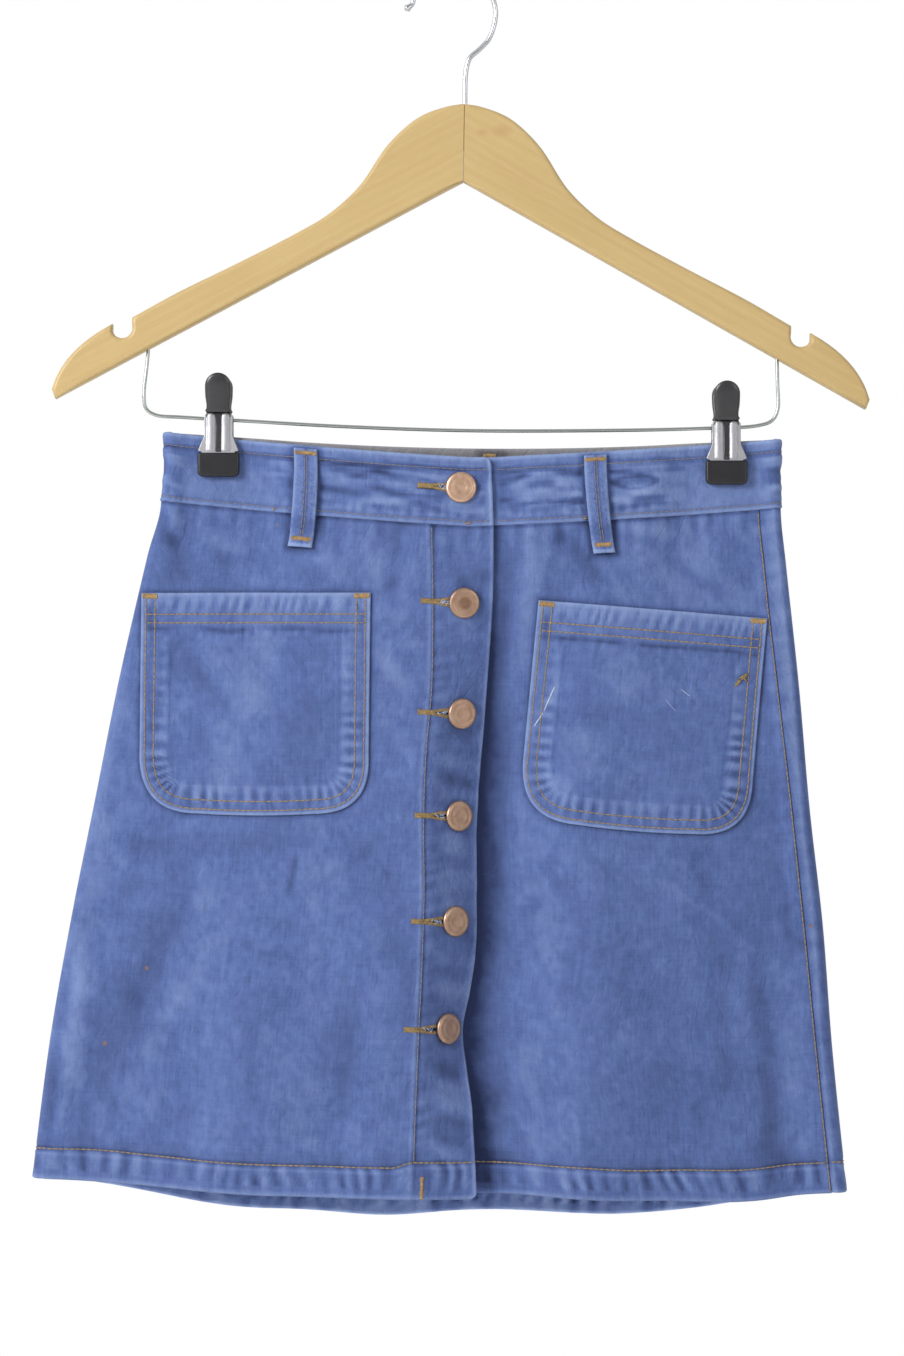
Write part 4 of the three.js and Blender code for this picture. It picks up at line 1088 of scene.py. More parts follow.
def wood_material():
    """Pale lacquered wood with long grain, fine pores and a few darker streaks."""
    look = Look("pale_wood", Roughness=0.5, Coat_Weight=0.1, Coat_Roughness=0.3)
    uv = look.uv()
    wander = look.noise(uv, (9, 34, 1), 3, 0.55)
    rings = look.bands(
        look.mapped(uv, (4.5, 60, 1)), "Y", Scale=1.0, Distortion=5.0, Detail=3.0, Detail_Scale=0.7
    )
    pores = look.noise(uv, (110, 2600, 1), 3, 0.6)
    streaks = look.noise(uv, (14, 420, 1), 4, 0.65)
    colour = look.blend(look.share(wander, 0.3, 0.7), (0.43, 0.305, 0.125), (0.475, 0.345, 0.15))
    for value, strength, darker in (
        (rings, 0.16, (0.38, 0.24, 0.085)),
        (look.share(streaks, 0.45, 0.75), 0.35, (0.35, 0.225, 0.08)),
        (look.share(pores, 0.52, 0.75), 0.3, (0.32, 0.2, 0.075)),
    ):
        colour = look.blend(look.times(value, strength), colour, darker)
    for knot in rows_of(KNOTS):
        edge = knot["size"] * MM + MARK_EDGE["knot"]
        spot = look.spot(knot, 0.6, (streaks, 0.003), edge, MARK_EDGE["knot"])
        colour = look.blend(look.times(spot, 0.5), colour, (0.36, 0.19, 0.085))
    return look.finish(colour, look.plus(look.times(pores, 0.6), (streaks, 1)), 0.12, 0.0002)


def metal_material(name, colour, roughness):
    """Bright plating with faint drawn lines."""
    look = Look(name, Metallic=1.0, Roughness=roughness)
    lines = look.noise(look.place(), (900, 900, 120), 3, 0.6)
    tone = look.blend(lines, colour, [c * 0.8 for c in colour])
    return look.finish(tone, lines, 0.1, 0.0001, look.between(lines, roughness * 0.7, roughness * 1.4))


def moulded_material(name, colour, roughness, grain, gloss=0.5):
    """Moulded plastic or rubber with a fine surface grain."""
    look = Look(name, Roughness=roughness, Specular_IOR_Level=gloss)
    fine = look.noise(look.place(), grain, 3, 0.6)
    dust = look.noise(look.place(), 90.0, 4, 0.7)
    dusty = look.times(look.share(dust, 0.45, 0.8), 0.5)
    tone = look.blend(dusty, colour, [c * 1.9 + 0.004 for c in colour])
    return look.finish(tone, fine, 0.15, 0.0002, look.between(dust, roughness * 0.8, roughness * 1.25))


DEEP, PALE = (0.044, 0.074, 0.2), (0.092, 0.14, 0.325)
WORN, DARK = (0.185, 0.25, 0.44), (0.02, 0.031, 0.09)
denim = denim_material("denim_face", DEEP, PALE, WORN, DARK)
denim_inside = denim_material(
    "denim_inside", (0.1, 0.102, 0.112), (0.15, 0.15, 0.16), (0.24, 0.24, 0.26), (0.05, 0.05, 0.06), inside=True
)
# A paler copy of the denim face for the turned hem: painted light, since the hem hangs in the front panel's shadow
denim_turned_lit = denim_material(
    "denim_turned_hem_lit", (0.078, 0.125, 0.32), (0.15, 0.225, 0.5), (0.3, 0.4, 0.7), (0.028, 0.045, 0.13), inside=True
)
CLOTH = (denim, denim_inside, denim_turned_lit)
thread = thread_material("brown_thread", (0.27, 0.19, 0.105), (0.18, 0.15, 0.12))
faded_thread = thread_material("faded_thread", (0.22, 0.18, 0.15), (0.16, 0.16, 0.19))
tack_thread = thread_material("orange_thread", (0.4, 0.26, 0.1), (0.24, 0.155, 0.08))
hole_thread = thread_material("golden_thread", (0.3, 0.205, 0.085), (0.19, 0.13, 0.065))
fray_thread = thread_material("pale_fray", (0.46, 0.49, 0.58), (0.3, 0.35, 0.5))
copper = copper_material("copper_plate")
copper_dull = copper_material("copper_dull", 0.76)
copper_dark = copper_material("copper_worn_centre", 0.7, 0.0034)
wood = wood_material()
chrome = metal_material("chrome_plate", (0.6, 0.61, 0.63), 0.28)
clip_metal = metal_material("clip_plate", (0.43, 0.43, 0.45), 0.52)
bar_metal = metal_material("bar_wire_plate", (0.46, 0.49, 0.47), 0.3)
black_plastic = moulded_material("black_gloss", (0.012, 0.011, 0.013), 0.34, 300.0, 0.7)
rubber = moulded_material("black_rubber", (0.005, 0.005, 0.007), 0.42, 1400.0)


# Cloth pieces
def button_place(button):
    """The place on the loop under a button."""
    seam, edge = read(OPENING, "seam", button["v"]), read(OPENING, "edge", button["v"])
    return START["faced"] + STEPS["faced"] * float((button["x"] - seam) / (edge - seam))


FAR = 99


def band_wear_and_shade(t, v, x, z, to_end):
    """Pale upper and lower edges and end of the waistband, paler towards the right and darker along a line 12 mm below
    its top, with painted shade beside its upper stitches and painted shadow beside its loops.
    """
    lower = (v + 1) * BAND_HEIGHT
    wear_and_shade = 0.16 + 0.3 * smooth((lower - BAND_STITCH_FOOT) / 1) + wash(FRONT, x + 300, z)
    wear_and_shade = wear_and_shade + 0.14 * smooth((x - 40) / 60) + 0.5 * bell(to_end - 1, 1.6)
    # Painted shade just below the upper row of stitches
    wear_and_shade = wear_and_shade - 0.35 * bell(lower - BAND_STITCH_TOP - 1.6, 1.2)
    wear_and_shade = wear_and_shade - 0.3 * bell(lower - 12, 3) * (0.5 + 0.5 * noise(t * 1.3, 0.5, 57))
    # Painted shadow beside the belt loops
    return wear_and_shade - 0.6 * by_side(t, lambda side: under_loop(side, x, v, 5))


def panel_wear_and_shade(name, t, v):
    """The wash of a panel, pale at the seams and towards the right hip, with painted shadow under the band, beside the
    pockets and beside the loops, and painted shade in the trough and just above the hem's stitches.
    """
    _, _, x, z = soft_at(t, v)
    wear_and_shade = by_side(t, lambda side: wash(side, x, z))
    # Painted shadow under the waistband's seam
    wear_and_shade = wear_and_shade - 0.75 * bell(v * PANEL_LENGTH, 1.3) + 0.3 * side_wear(t, v)
    above = (1 - v) * PANEL_LENGTH - hem_line(t)
    # Painted shadow beside the belt loops, and painted shade just above the hem's stitches
    wear_and_shade = wear_and_shade - 0.8 * by_side(t, lambda side: under_loop(side, x, v, 5.5)) - 0.2 * bell(above - 4, 3.5) * (above > 0)
    front = 0.15 * smooth((x - 40) / 80) * (1 - smooth((v - 0.25) / 0.3)) - 0.05 * smooth(x / 40)
    # Painted shadow round the pockets' outlines
    front = front - 0.5 * beside_pocket(x, z)
    if name == "skirt_front_right":
        # Painted shade in the trough beside the doubled edge
        front = front - valley_shade(x, v)
    return wear_and_shade + front * on_front(t)


def hole_cuts(form, outer, button, place, slit):
    """Cells of a grid that a button's shank goes through, with the slit of its buttonhole."""
    centre, facing = surface(form, np.array(place), np.array(button["v"]))
    away = (outer[1:, 1:] + outer[:-1, :-1]) / 2 - centre
    side = unit(np.cross(np.array([0, 0, 1.0]), facing))
    sideways = away @ side * FRONT * -1
    level = away @ np.cross(facing, side)
    deep, from_nail = np.abs(away @ facing), np.hypot(sideways, level)
    cut = (from_nail < 1.6) & (deep < 6)
    if slit:
        length = HOLE["length"]
        opened = (np.abs(level) < HOLE["slit"] / 2) & (np.abs(sideways + length / 2) < length / 2)
        cut |= ((from_nail < 2.6) | opened) & (deep < 1.6)
    return cut


def cloth_panel(name, form, start, end, thick, corner=0.0, holes="none", spacing=SPACING):
    """A panel between two places on the loop, with folded free edges, a hem and the cuts for the buttons."""
    band = name == "waistband"
    lengths = BAND_LENGTHS if band else HEM_LENGTHS
    first = along(lengths, start) + SEAM_GAP / 2
    total = along(lengths, end) - SEAM_GAP / 2 - first
    buttons = [b for b in rows_of(BUTTONS) if (b["v"] < 0) == band]
    places = [button_place(b) + (ROUND if band else 0) for b in buttons] if holes != "none" else []
    across = [along(lengths, place) - first + side * 1.5 for place in places for side in (-1, 1)]
    ts = place_at(lengths, first + spaced(total, spacing, [a for a in across if 0 < a < total]))
    tall = BAND_HEIGHT if band else PANEL_LENGTH
    top, foot = (-1.0, -SEAM_GAP / tall) if band else (-UNDER_BAND / BAND_HEIGHT, 1.0)
    marks = [(b["v"] - top) * tall + side * HOLE["slit"] / 2 for b in buttons for side in (-1, 1)]
    marks += [BAND_STITCH_TOP, BAND_STITCH_FOOT] if band else [tall - HEM_DEPTH, tall - HEM_DEPTH - 1.2]
    vs = top + spaced((foot - top) * tall, spacing, marks) / tall
    t, v = np.meshgrid(ts, vs, indexing="ij")
    from_start, to_end = (along(lengths, t) - first), total + first - along(lengths, t)
    if corner:
        lift = rounded(to_end, corner) / tall
        v = v + lift * smooth((-0.4 - v) / 0.6) if band else v - lift * smooth((v - 0.95) / 0.05)
    base, fine = form(t, v)
    normal = normal_at(place_on_loop, t, v)
    point = hung_point(form, t, v)
    depth = thick(t, v)
    down = (v - top) * tall if band else FAR + 0 * t
    up, free_end = (foot - v) * tall, to_end if corner else FAR + 0 * t
    fold = np.maximum.reduce([
        rounded(free_end, 1.1), rounded(down, 1.0), rounded(up, 0.6 if band else 1.1), rounded(from_start, 0.5)
    ])
    fold = np.minimum(fold, depth * 0.45)
    outer = point + normal * (base + fine - fold)[..., None]
    inner = point + normal * (base + fine - depth + fold)[..., None]
    rim = np.minimum.reduce([free_end, down if band else up])
    fade = 0.3 * np.clip(fine / 0.6, -1.3, 0.8) + (0.7 if band else 0.5) * bell(rim - 0.7, 1.1) + raised(base + fine)
    if band:
        fade = fade + band_wear_and_shade(t, v, point[..., 0], point[..., 2], to_end)
    else:
        fade = fade + panel_wear_and_shade(name, t, v)
    widths = np.linalg.norm(np.diff(point, axis=0), axis=-1)
    u_run = np.concatenate([np.zeros((1, t.shape[1])), np.cumsum(widths, axis=0)])
    u_run = u_run - u_run[len(ts) // 2]
    uv = np.stack([u_run * MM, -v * tall * MM], axis=-1)
    cut = np.zeros((len(ts) - 1, vs.size - 1), bool)
    for button, place in zip(buttons, places):
        cut |= hole_cuts(form, outer, button, place, holes == "slit")
    turned = (v[1:, 1:] + v[:-1, :-1]) / 2 > (1 - (HEM_DEPTH - 1) / PANEL_LENGTH)
    # Painted light on the turned hem, which hangs in the front panel's shadow, broken into pale streaks
    streaks = 0.1 + 0.45 * noise(along(lengths, t) / 5, v * 9, 91)
    inner_fade_and_light = 1.4 * fade + (0 if band else streaks * smooth((v - 0.93) / 0.02))
    piece = grid_shell(name + "_cloth", outer, inner, CLOTH, uv, fade, cut, None if band else turned, inner_fade_and_light)
    return piece, point


def raised(relief):
    """How far a place stands above the cloth round it, which is where it wears pale."""
    mean = relief
    for axis in (0, 1):
        for _ in range(3):
            before, after = np.roll(mean, 2, axis), np.roll(mean, -2, axis)
            mean = (before + mean + after) / 3
    high = relief - mean
    high[:6], high[-6:], high[:, :6], high[:, -6:] = 0, 0, 0, 0
    return np.where(high > 0, np.minimum(0.7 * high, 0.4), np.maximum(1.5 * high, -0.55))


def side_wear(t, v):
    """Pale ridges along the folded left edge and the right side seam."""
    left = bell(np.mod(t + 5, ROUND) - 8, 1.3)
    seam = along(HEM_LENGTHS, np.mod(t, ROUND)) - along(HEM_LENGTHS, START["seamRight"])
    return left * 0.5 + 1.6 * bell(seam - 2.2, 1.6)


def valley_shade(x, v):
    """Painted shade in the trough beside the doubled edge, deepest where the trough is deep, with a narrow painted
    shadow right beside the edge.
    """
    away = np.maximum(x - read(OPENING, "edge", v), 0)
    deep = np.clip(read(OPENING, "valley", v) / 18, 0, 1)
    return 0.3 * bell(away, 2.5) + 0.85 * deep * np.exp(-((away / 14) ** 2) * 0.8)


def left_thick(t, v):
    facing = mix(DENIM, FACED_THICK, smooth((t - START["faced"]) / 0.15))
    return np.maximum(hem_thick(v), facing)


def right_thick(t, v):
    lap = mix(UNDERLAP_THICK, DENIM, smooth((t - START["valley"]) / 0.5))
    return np.maximum(hem_thick(v), lap)


def build_panels():
    left, seam, end = START["faced"], START["seamRight"], START["valley"]
    rows = (
        ("skirt_front_left", left_form, 0, end, left_thick, 4.5, "slit", SPACING),
        ("skirt_front_right", right_form, left, seam, right_thick, 0.0, "nail", SPACING),
        ("skirt_back", back_form, seam, ROUND, lambda t, v: hem_thick(v), 0.0, "none", BACK_SPACING),
        ("waistband", band_form, left, ROUND + end, lambda t, v: BAND_THICK + 0 * t, 5.0, "slit", BAND_SPACING),
    )
    for name, *how in rows:
        piece, flat = cloth_panel(name, *how)
        declare(piece, name, flat)


# Pockets
def level_below(x, z):
    """The v of a place on the front wall, from its X and Z."""
    low, high = np.zeros(np.shape(x)), np.ones(np.shape(x))
    for _ in range(30):
        middle = (low + high) / 2
        above = height(FRONT, share_across(x, middle), middle) > z
        low, high = np.where(above, middle, low), np.where(above, high, middle)
    return (low + high) / 2


def front_wall(x, v):
    return wall_point(FRONT, x, v)


MOUTH = {"upper": 11.8, "lower": 16.5}
POCKET_STITCH = {"outer": 2.75, "inner": 7.7}


def pocket_relief(pocket, a, b):
    """Puckers of a pocket: gathers in the mouth's hem, streaks in the corners and grooves at the stitches."""
    seed = pocket["seed"]
    edge, run = line_place(a, b, pocket_sides(40))
    down = -b
    mouth = bell(down - 6.5, 5) * smooth(edge / 4)
    below = 0.5 * bell(down - 21.5, 2.5) * smooth((edge - 6) / 6)
    dent = mouth_line(a, b, edge, seed)
    slant = a + 0.25 * down
    fine = 0.42 * pucker_wave(slant, 6.4, seed) * mouth + 0.4 * pucker_wave(slant + 3, 6.1, seed + 1) * below
    corners = 0.5 + 0.5 * smooth((np.abs(a) - 18) / 18)
    reach = bell(edge - 10, 5.2) * corners * smooth((down - 52) / 30)
    fine = fine + 0.75 * pucker_wave(run, 7.6, seed + 2, 0, 0.5) * reach - 0.4 * dent
    allowance = 0.22 * smooth((16.5 - edge) / 1.2) * smooth((edge - 9) / 5) * smooth((down - 22) / 5)
    side_reach = bell(edge - 12, 3.2) * smooth((down - 24) / 10) * (1 - smooth((down - 62) / 25))
    sides = allowance + 0.26 * pucker_wave(down, 7.4, seed + 3, 0, 0.5) * side_reach
    channel = 0.26 * bell(edge - 5.2, 1.5) * smooth((down - 18) / 4)
    channel = channel * (1 + 0.8 * pucker_wave(run, 4.8, seed + 4, 0) * smooth((down - 70) / 25))
    channel = channel + 0.26 * bell(down - 14.1, 1.5) * smooth(edge / 3)
    groove = seam_groove(edge - POCKET_STITCH["outer"], 0.7) + seam_groove(edge - POCKET_STITCH["inner"], 0.7)
    mouth_rows = seam_groove(down - MOUTH["upper"], 0.7) + seam_groove(down - MOUTH["lower"], 0.7)
    groove = groove + mouth_rows * smooth(edge)
    return fine + sides + channel, 0.5 * groove


def mouth_line(a, b, edge, seed):
    """The broken dark line where the mouth's hem ends under the pocket's face, from 0 to 1."""
    line = -b - 19.9 - 1.4 * noise(a / 19, 0.5, seed + 5)
    return bell(line, 1.3) * smooth(0.75 + 0.9 * noise(a / 11, 2.5, seed + 6)) * smooth(edge / 5)


def pocket_face(pocket, a, b):
    """Points of the outer face of a pocket, and its outward directions, from places on its pattern."""
    turn = math.radians(pocket["turn"])
    x = pocket["x"] + a * math.cos(turn) - b * math.sin(turn)
    z = pocket["z"] + a * math.sin(turn) + b * math.cos(turn)
    v = level_below(x, z)
    point = front_wall(x, v)
    normal = normal_at(front_wall, x, v)
    level = soft_relief(FRONT, x, v, z)
    if pocket["name"] == "pocket_right":
        beside = START["valley"] + (x - read(OPENING, "edge", v)) * STEPS["valley"] / VALLEY_SPAN
        level = level + underlap(beside, v, FACED_THICK + LAYER_GAP)
    lift = level + POCKET_GAP + POCKET["thick"] + sum(pocket_relief(pocket, a, b))
    return point + normal * lift[..., None], normal


def pocket_grid():
    """Places over a pocket. Its rows and columns bend towards the middles of the rounded corners."""
    half, turn = POCKET["width"] / 2, 24
    foot = pocket_foot(2 * turn)
    rows = spaced(POCKET["height"], POCKET_SPACING) / POCKET["height"]
    columns = spaced(POCKET["width"], POCKET_SPACING) / POCKET["width"]
    left = at_shares(np.concatenate([[(-half, 0)], foot[:turn + 1]]), rows)[None]
    right = at_shares(np.concatenate([[(half, 0)], foot[:-turn - 2:-1]]), rows)[None]
    mouth = at_shares(np.array([(-half, 0), (half, 0)], float), columns)[:, None]
    low = at_shares(foot[turn:len(foot) - turn], columns)[:, None]
    s, u = rows[None, :, None], columns[:, None, None]
    ends = mix(mix(left[:, :1], right[:, :1], u), mix(left[:, -1:], right[:, -1:], u), s)
    return mix(left, right, u) + mix(mouth, low, s) - ends


def build_pocket(pocket):
    grid = pocket_grid()
    a, b = grid[..., 0], grid[..., 1]
    edge = line_distance(a, b, pocket_sides(40))
    outer, normal = pocket_face(pocket, a, b)
    turn_in = np.minimum(np.maximum(rounded(edge, 0.7), rounded(-b, 0.7)), POCKET["thick"] * 0.45)
    fine, groove = pocket_relief(pocket, a, b)
    relief = fine + groove
    flat = outer - normal * relief[..., None]
    inner = flat - normal * (POCKET["thick"] - turn_in)[..., None]
    inner = inner + normal * np.minimum(relief, 0)[..., None] * 0.15
    outer = outer - normal * turn_in[..., None]
    rim = np.minimum(edge, -b)
    fade = 0.55 * np.clip(fine / 0.5, -1.3, 0.8) + 0.55 * bell(rim - 0.6, 0.9)
    fade = fade + 0.25 * bell(-b - 3, 3) + wash(FRONT, outer[..., 0], outer[..., 2])
    fade = fade + 0.16 * (1 - smooth((np.minimum(edge - 8, -b - 17)) / 1.5))
    fade = fade - 0.5 * bell(edge - 5.2, 2) * smooth((-b - 6) / 6)
    fade = fade - 0.4 * bell(-b - 14.1, 1.9) * smooth(edge / 3)
    # Painted shadow in the dent where the mouth's hem ends under the pocket's face
    fade = fade - 0.28 * mouth_line(a, b, edge, pocket["seed"])
    fade = fade - 0.2 * bell(edge - 16.4, 1.2) * (-b > 24) * (-b < 95)
    uv = np.stack([a * MM + pocket["shift"], b * MM], axis=-1)
    piece = grid_shell(pocket["name"] + "_cloth", outer, inner, CLOTH, uv, fade)
    size = (POCKET["width"] * MM, (POCKET["height"] + POCKET["sag"] / 2) * MM)
    declare(piece, pocket["name"], flat, size)


# Belt loops
def loop_face(loop, s, i):
    """A place on the outer face of a belt loop. s runs down it and i from -1 to 1 across it."""
    below = LOOP["start"] + LOOP["length"] * s
    v = np.where(below < BAND_HEIGHT, below / BAND_HEIGHT - 1, (below - BAND_HEIGHT) / PANEL_LENGTH)
    x = loop_middle(loop, s) + i * loop_half(loop, s)

    def wall(wall_x, wall_v):
        return wall_point(loop["side"], wall_x, wall_v)

    normal = normal_at(wall, x, v) * -loop["side"]
    point = wall(x, v)
    soft = soft_relief(loop["side"], x, v, point[..., 2]) * smooth(v / 0.03)
    rise = read(LOOP_RISE, "rise", s) + soft
    edge = 1 - np.abs(i)
    form = 0.35 * (1 - bell(edge * loop_half(loop, s), 2.2))
    form = form + 0.16 * pucker_wave(LOOP["length"] * s, 8, 81) * (1 - np.abs(i) ** 4)
    return point + normal * (rise + LOOP["thick"] + form)[..., None], normal


def build_loop(loop):
    sv = spaced(LOOP["length"], 0.9) / LOOP["length"]
    iv = np.concatenate([[-1, -0.95, -0.87], np.linspace(-0.75, 0.75, 13), [0.87, 0.95, 1]])
    i, s = np.meshgrid(iv if loop["side"] == FRONT else iv[::-1], sv, indexing="ij")
    outer, normal = loop_face(loop, s, i)
    beside = (1 - np.abs(i)) * loop_half(loop, s)
    ends = np.minimum(s, 1 - s) * LOOP["length"]
    turn_in = np.minimum(np.maximum(rounded(beside, 0.9), rounded(ends, 0.7)), LOOP["thick"] * 0.45)
    flat, _ = loop_face(loop, s, np.clip(i, -0.999, 0.999))
    inner = flat - normal * (LOOP["thick"] + 0.2 - turn_in)[..., None]
    outer = outer - normal * turn_in[..., None]
    fray = noise(s * 60, i * 9, 83)
    fade = 0.2 + 0.5 * bell(beside - 0.6, 0.9) + 0.35 * fray * np.abs(fray)
    fade = fade - 0.45 * bell(s - 0.78, 0.09) + 0.25 * (1 - smooth((s - 0.03) / 0.03))
    fade = fade + 0.9 * smooth((s - 0.955) / 0.02) - 0.45 * bell(beside - loop_half(loop, s), 1.6)
    uv = np.stack([i * loop_half(loop, s) * MM + 0.05, -s * LOOP["length"] * MM], axis=-1)
    piece = grid_shell(loop["name"] + "_cloth", outer, inner, CLOTH, uv, fade)
    declare(piece, loop["name"], outer)


# Small solid forms
def small_mesh(name, points, faces, materials, uv=None, flat_along=None):
    """A smooth mesh from lists of corners. Faces square to the axis flat_along stay flat."""
    mesh = bpy.data.meshes.new(name)
    mesh.from_pydata([tuple(p) for p in np.asarray(points, float) * MM], [], [list(map(int, f)) for f in faces])
    for material in materials:
        mesh.materials.append(material)
    mesh.update(calc_edges=True)
    for polygon in mesh.polygons:
        across = flat_along is not None and abs(polygon.normal[flat_along]) > 0.999
        polygon.use_smooth = not across and len(polygon.vertices) == 4
    if uv is not None:
        layer = mesh.uv_layers.new(name="UVMap")
        corner = np.zeros(len(mesh.loops), np.int32)
        mesh.loops.foreach_get("vertex_index", corner)
        layer.data.foreach_set("uv", np.asarray(uv, np.float32)[corner].ravel())
    return new_object(name, mesh)


def ring_faces(rings, sides, start=0):
    """Faces of a tube of rings, with both ends closed."""
    i, j = np.meshgrid(np.arange(rings - 1), np.arange(sides), indexing="ij")
    a, b = i * sides + j, i * sides + (j + 1) % sides
    quads = np.stack([a, b, b + sides, a + sides], -1).reshape(-1, 4) + start
    last = (rings - 1) * sides + start
    ends = [list(range(start + sides - 1, start - 1, -1)), list(range(last, last + sides))]
    return [list(q) for q in quads] + ends


def tube(name, path, radius, sides, material, facing, reach=None):
    """A round wire along a path. reach widens or narrows it from place to place."""
    path = np.asarray(path, float)
    tangent = unit(np.gradient(path, axis=0))
    side = unit(np.cross(tangent, np.asarray(facing, float)))
    lift = np.cross(side, tangent)
    ends = 4
    rings, sizes = [], []
    for k in range(ends, 0, -1):
        angle = math.pi / 2 * k / (ends + 0.35)
        rings.append((path[0] - tangent[0] * radius * math.sin(angle), side[0], lift[0]))
        sizes.append(math.cos(angle))
    rings += list(zip(path, side, lift))
    sizes += [1.0] * len(path) if reach is None else list(reach)
    for k in range(1, ends + 1):
        angle = math.pi / 2 * k / (ends + 0.35)
        rings.append((path[-1] + tangent[-1] * radius * math.sin(angle), side[-1], lift[-1]))
        sizes.append(math.cos(angle))
    turn = np.arange(sides) * 2 * math.pi / sides
    points = []
    for (centre, across, up), size in zip(rings, sizes):
        ring = np.cos(turn)[:, None] * across + np.sin(turn)[:, None] * up
        points.append(centre + ring * radius * size)
    return small_mesh(name, np.concatenate(points), ring_faces(len(rings), sides), [material])


def through(points, steps):
    """A smooth curve through points, spaced by the square root of their distance."""
    p = np.asarray(points, float)
    p = np.concatenate([[2 * p[0] - p[1]], p, [2 * p[-1] - p[-2]]])
    knots = np.concatenate([[0], np.cumsum(np.sqrt(np.linalg.norm(np.diff(p, axis=0), axis=1)))])
    made = []
    for i in range(1, len(p) - 2):
        s = np.linspace(knots[i], knots[i + 1], steps, endpoint=False)[:, None]
        k0, k1, k2, k3 = knots[i - 1:i + 3]
        a1 = (k1 - s) / (k1 - k0) * p[i - 1] + (s - k0) / (k1 - k0) * p[i]
        a2 = (k2 - s) / (k2 - k1) * p[i] + (s - k1) / (k2 - k1) * p[i + 1]
        a3 = (k3 - s) / (k3 - k2) * p[i + 1] + (s - k2) / (k3 - k2) * p[i + 2]
        b1 = (k2 - s) / (k2 - k0) * a1 + (s - k0) / (k2 - k0) * a2
        b2 = (k3 - s) / (k3 - k1) * a2 + (s - k1) / (k3 - k1) * a3
        made.append((k2 - s) / (k2 - k1) * b1 + (s - k1) / (k2 - k1) * b2)
    return np.concatenate(made + [p[-2:-1]])


def in_plane(points):
    return np.array([(x, 0, z) for x, z in points], float)


def roomy(ring, radius):
    """Drops the points beside sharp corners, so that the rounded edge has room there."""
    forth = unit(np.roll(ring, -1, axis=0) - ring)
    sharp = (forth * np.roll(forth, 1, axis=0)).sum(1) < 0.8
    kept = np.ones(len(ring), bool)
    for corner in ring[sharp]:
        kept &= sharp | (np.linalg.norm(ring - corner, axis=1) > 1.5 * radius)
    return ring[kept]


def slab(name, outline, thick, radius, material, place, uv=None, levels=4, flush=0.0):
    """A plate with rounded edges from an outline in X and Z. Points within flush of X = 0 keep their edge."""
    ring = roomy(np.asarray(outline, float), radius)
    area = np.sum(ring[:, 0] * np.roll(ring[:, 1], -1) - np.roll(ring[:, 0], -1) * ring[:, 1])
    ring = ring[::-1] if area < 0 else ring
    forth = unit(np.roll(ring, -1, axis=0) - ring)
    back = np.roll(forth, 1, axis=0)
    into = unit(np.stack([-(forth + back)[:, 1], (forth + back)[:, 0]], 1))
    square = np.stack([-forth[:, 1], forth[:, 0]], 1)
    miter = 1 / np.clip((into * square).sum(1), 0.85, 1)
    inset = radius * miter * np.where(np.abs(ring[:, 0]) < flush, 0.12, 1)
    half = thick / 2
    rings = []
    angles = np.linspace(0, math.pi / 2, levels + 1)
    for side, order in ((-1, angles[::-1]), (1, angles)):
        for angle in order:
            moved = ring + into * (inset * (1 - math.cos(angle)))[:, None]
            y = side * (half - radius + radius * math.sin(angle))
            rings.append(np.stack([moved[:, 0], np.full(len(ring), y), moved[:, 1]], 1))
    points = np.concatenate(rings)
    uv = None if uv is None else uv(points)
    return small_mesh(name, place(points), ring_faces(len(rings), len(ring)), [material], uv, 1)


# Buttons
def button_frame(button):
    """Where a button sits: its origin on the face, and its across, up and outward directions."""
    t, v = np.array(button_place(button)), np.array(button["v"])
    out = normal_at(place_on_loop, t, v)
    across = place_on_loop(t + 0.1, v) - place_on_loop(t - 0.1, v)
    across = unit(across - out * (across @ out))
    level = BAND_PROUD if button["v"] < 0 else 0
    return place_on_loop(t, v) + out * level, across, np.cross(out, across), out


def button_profile(stack, hollow):
    """Radius and height of a button's rings, from its rivet to the middle of its cap."""
    cap, top, shank, nail, rivet = (BUTTON[k] for k in ("cap", "height", "shank", "nail", "rivet"))
    return [
        (0.01, -stack - 1.2), (rivet - 0.6, -stack - 1.2), (rivet - 0.1, -stack - 1.0), (rivet, -stack - 0.75),
        (rivet - 0.3, -stack - 0.35), (nail, -stack - GAP), (nail, -2.5), (shank - 0.2, -2.45), (shank, -2.3),
        (shank, 0.4), (cap - 1.0, 0.5), (cap - 0.45, 0.65), (cap - 0.1, 1.0), (cap, 1.5), (cap - 0.1, 2.05),
        (cap - 0.4, 2.5), (cap - 0.9, 2.8), (cap - 1.6, 2.93), (cap - 2.3, 2.93), (cap - 2.7, 2.86),
        (cap - 3.2, 2.86), (cap - 3.8, 2.92), (4.0, 2.94), (3.2, 2.94), (2.9, 2.94 - hollow),
        (2.2, 2.94 - 1.3 * hollow), (0.8, 2.94 - 1.2 * hollow), (0.3, 2.94 - hollow), (0.01, 2.94 - hollow),
    ]


def build_buttons():
    for number, button in enumerate(rows_of(BUTTONS), 1):
        origin, across, up, out = button_frame(button)
        stack = FACED_THICK + LAYER_GAP + (BAND_THICK if button["v"] < 0 else UNDERLAP_THICK)
        profile = np.array(button_profile(stack, 0.14 if number == 2 else 0.05))
        turn = np.arange(40) * 2 * math.pi / 40
        ring = np.cos(turn)[:, None] * across + np.sin(turn)[:, None] * up
        points = origin + profile[:, 0][:, None, None] * ring + profile[:, 1][:, None, None] * out
        uv = np.stack(np.broadcast_arrays(profile[:, 0][:, None] * MM, turn[None, :] * 0.01), -1)
        cap = small_mesh(
            f"button_{number}_metal", points.reshape(-1, 3), ring_faces(len(profile), 40),
            [{1: copper, 2: copper_dark}.get(number, copper_dull)], uv.reshape(-1, 2),
        )
        declare(cap, f"button_{number}")


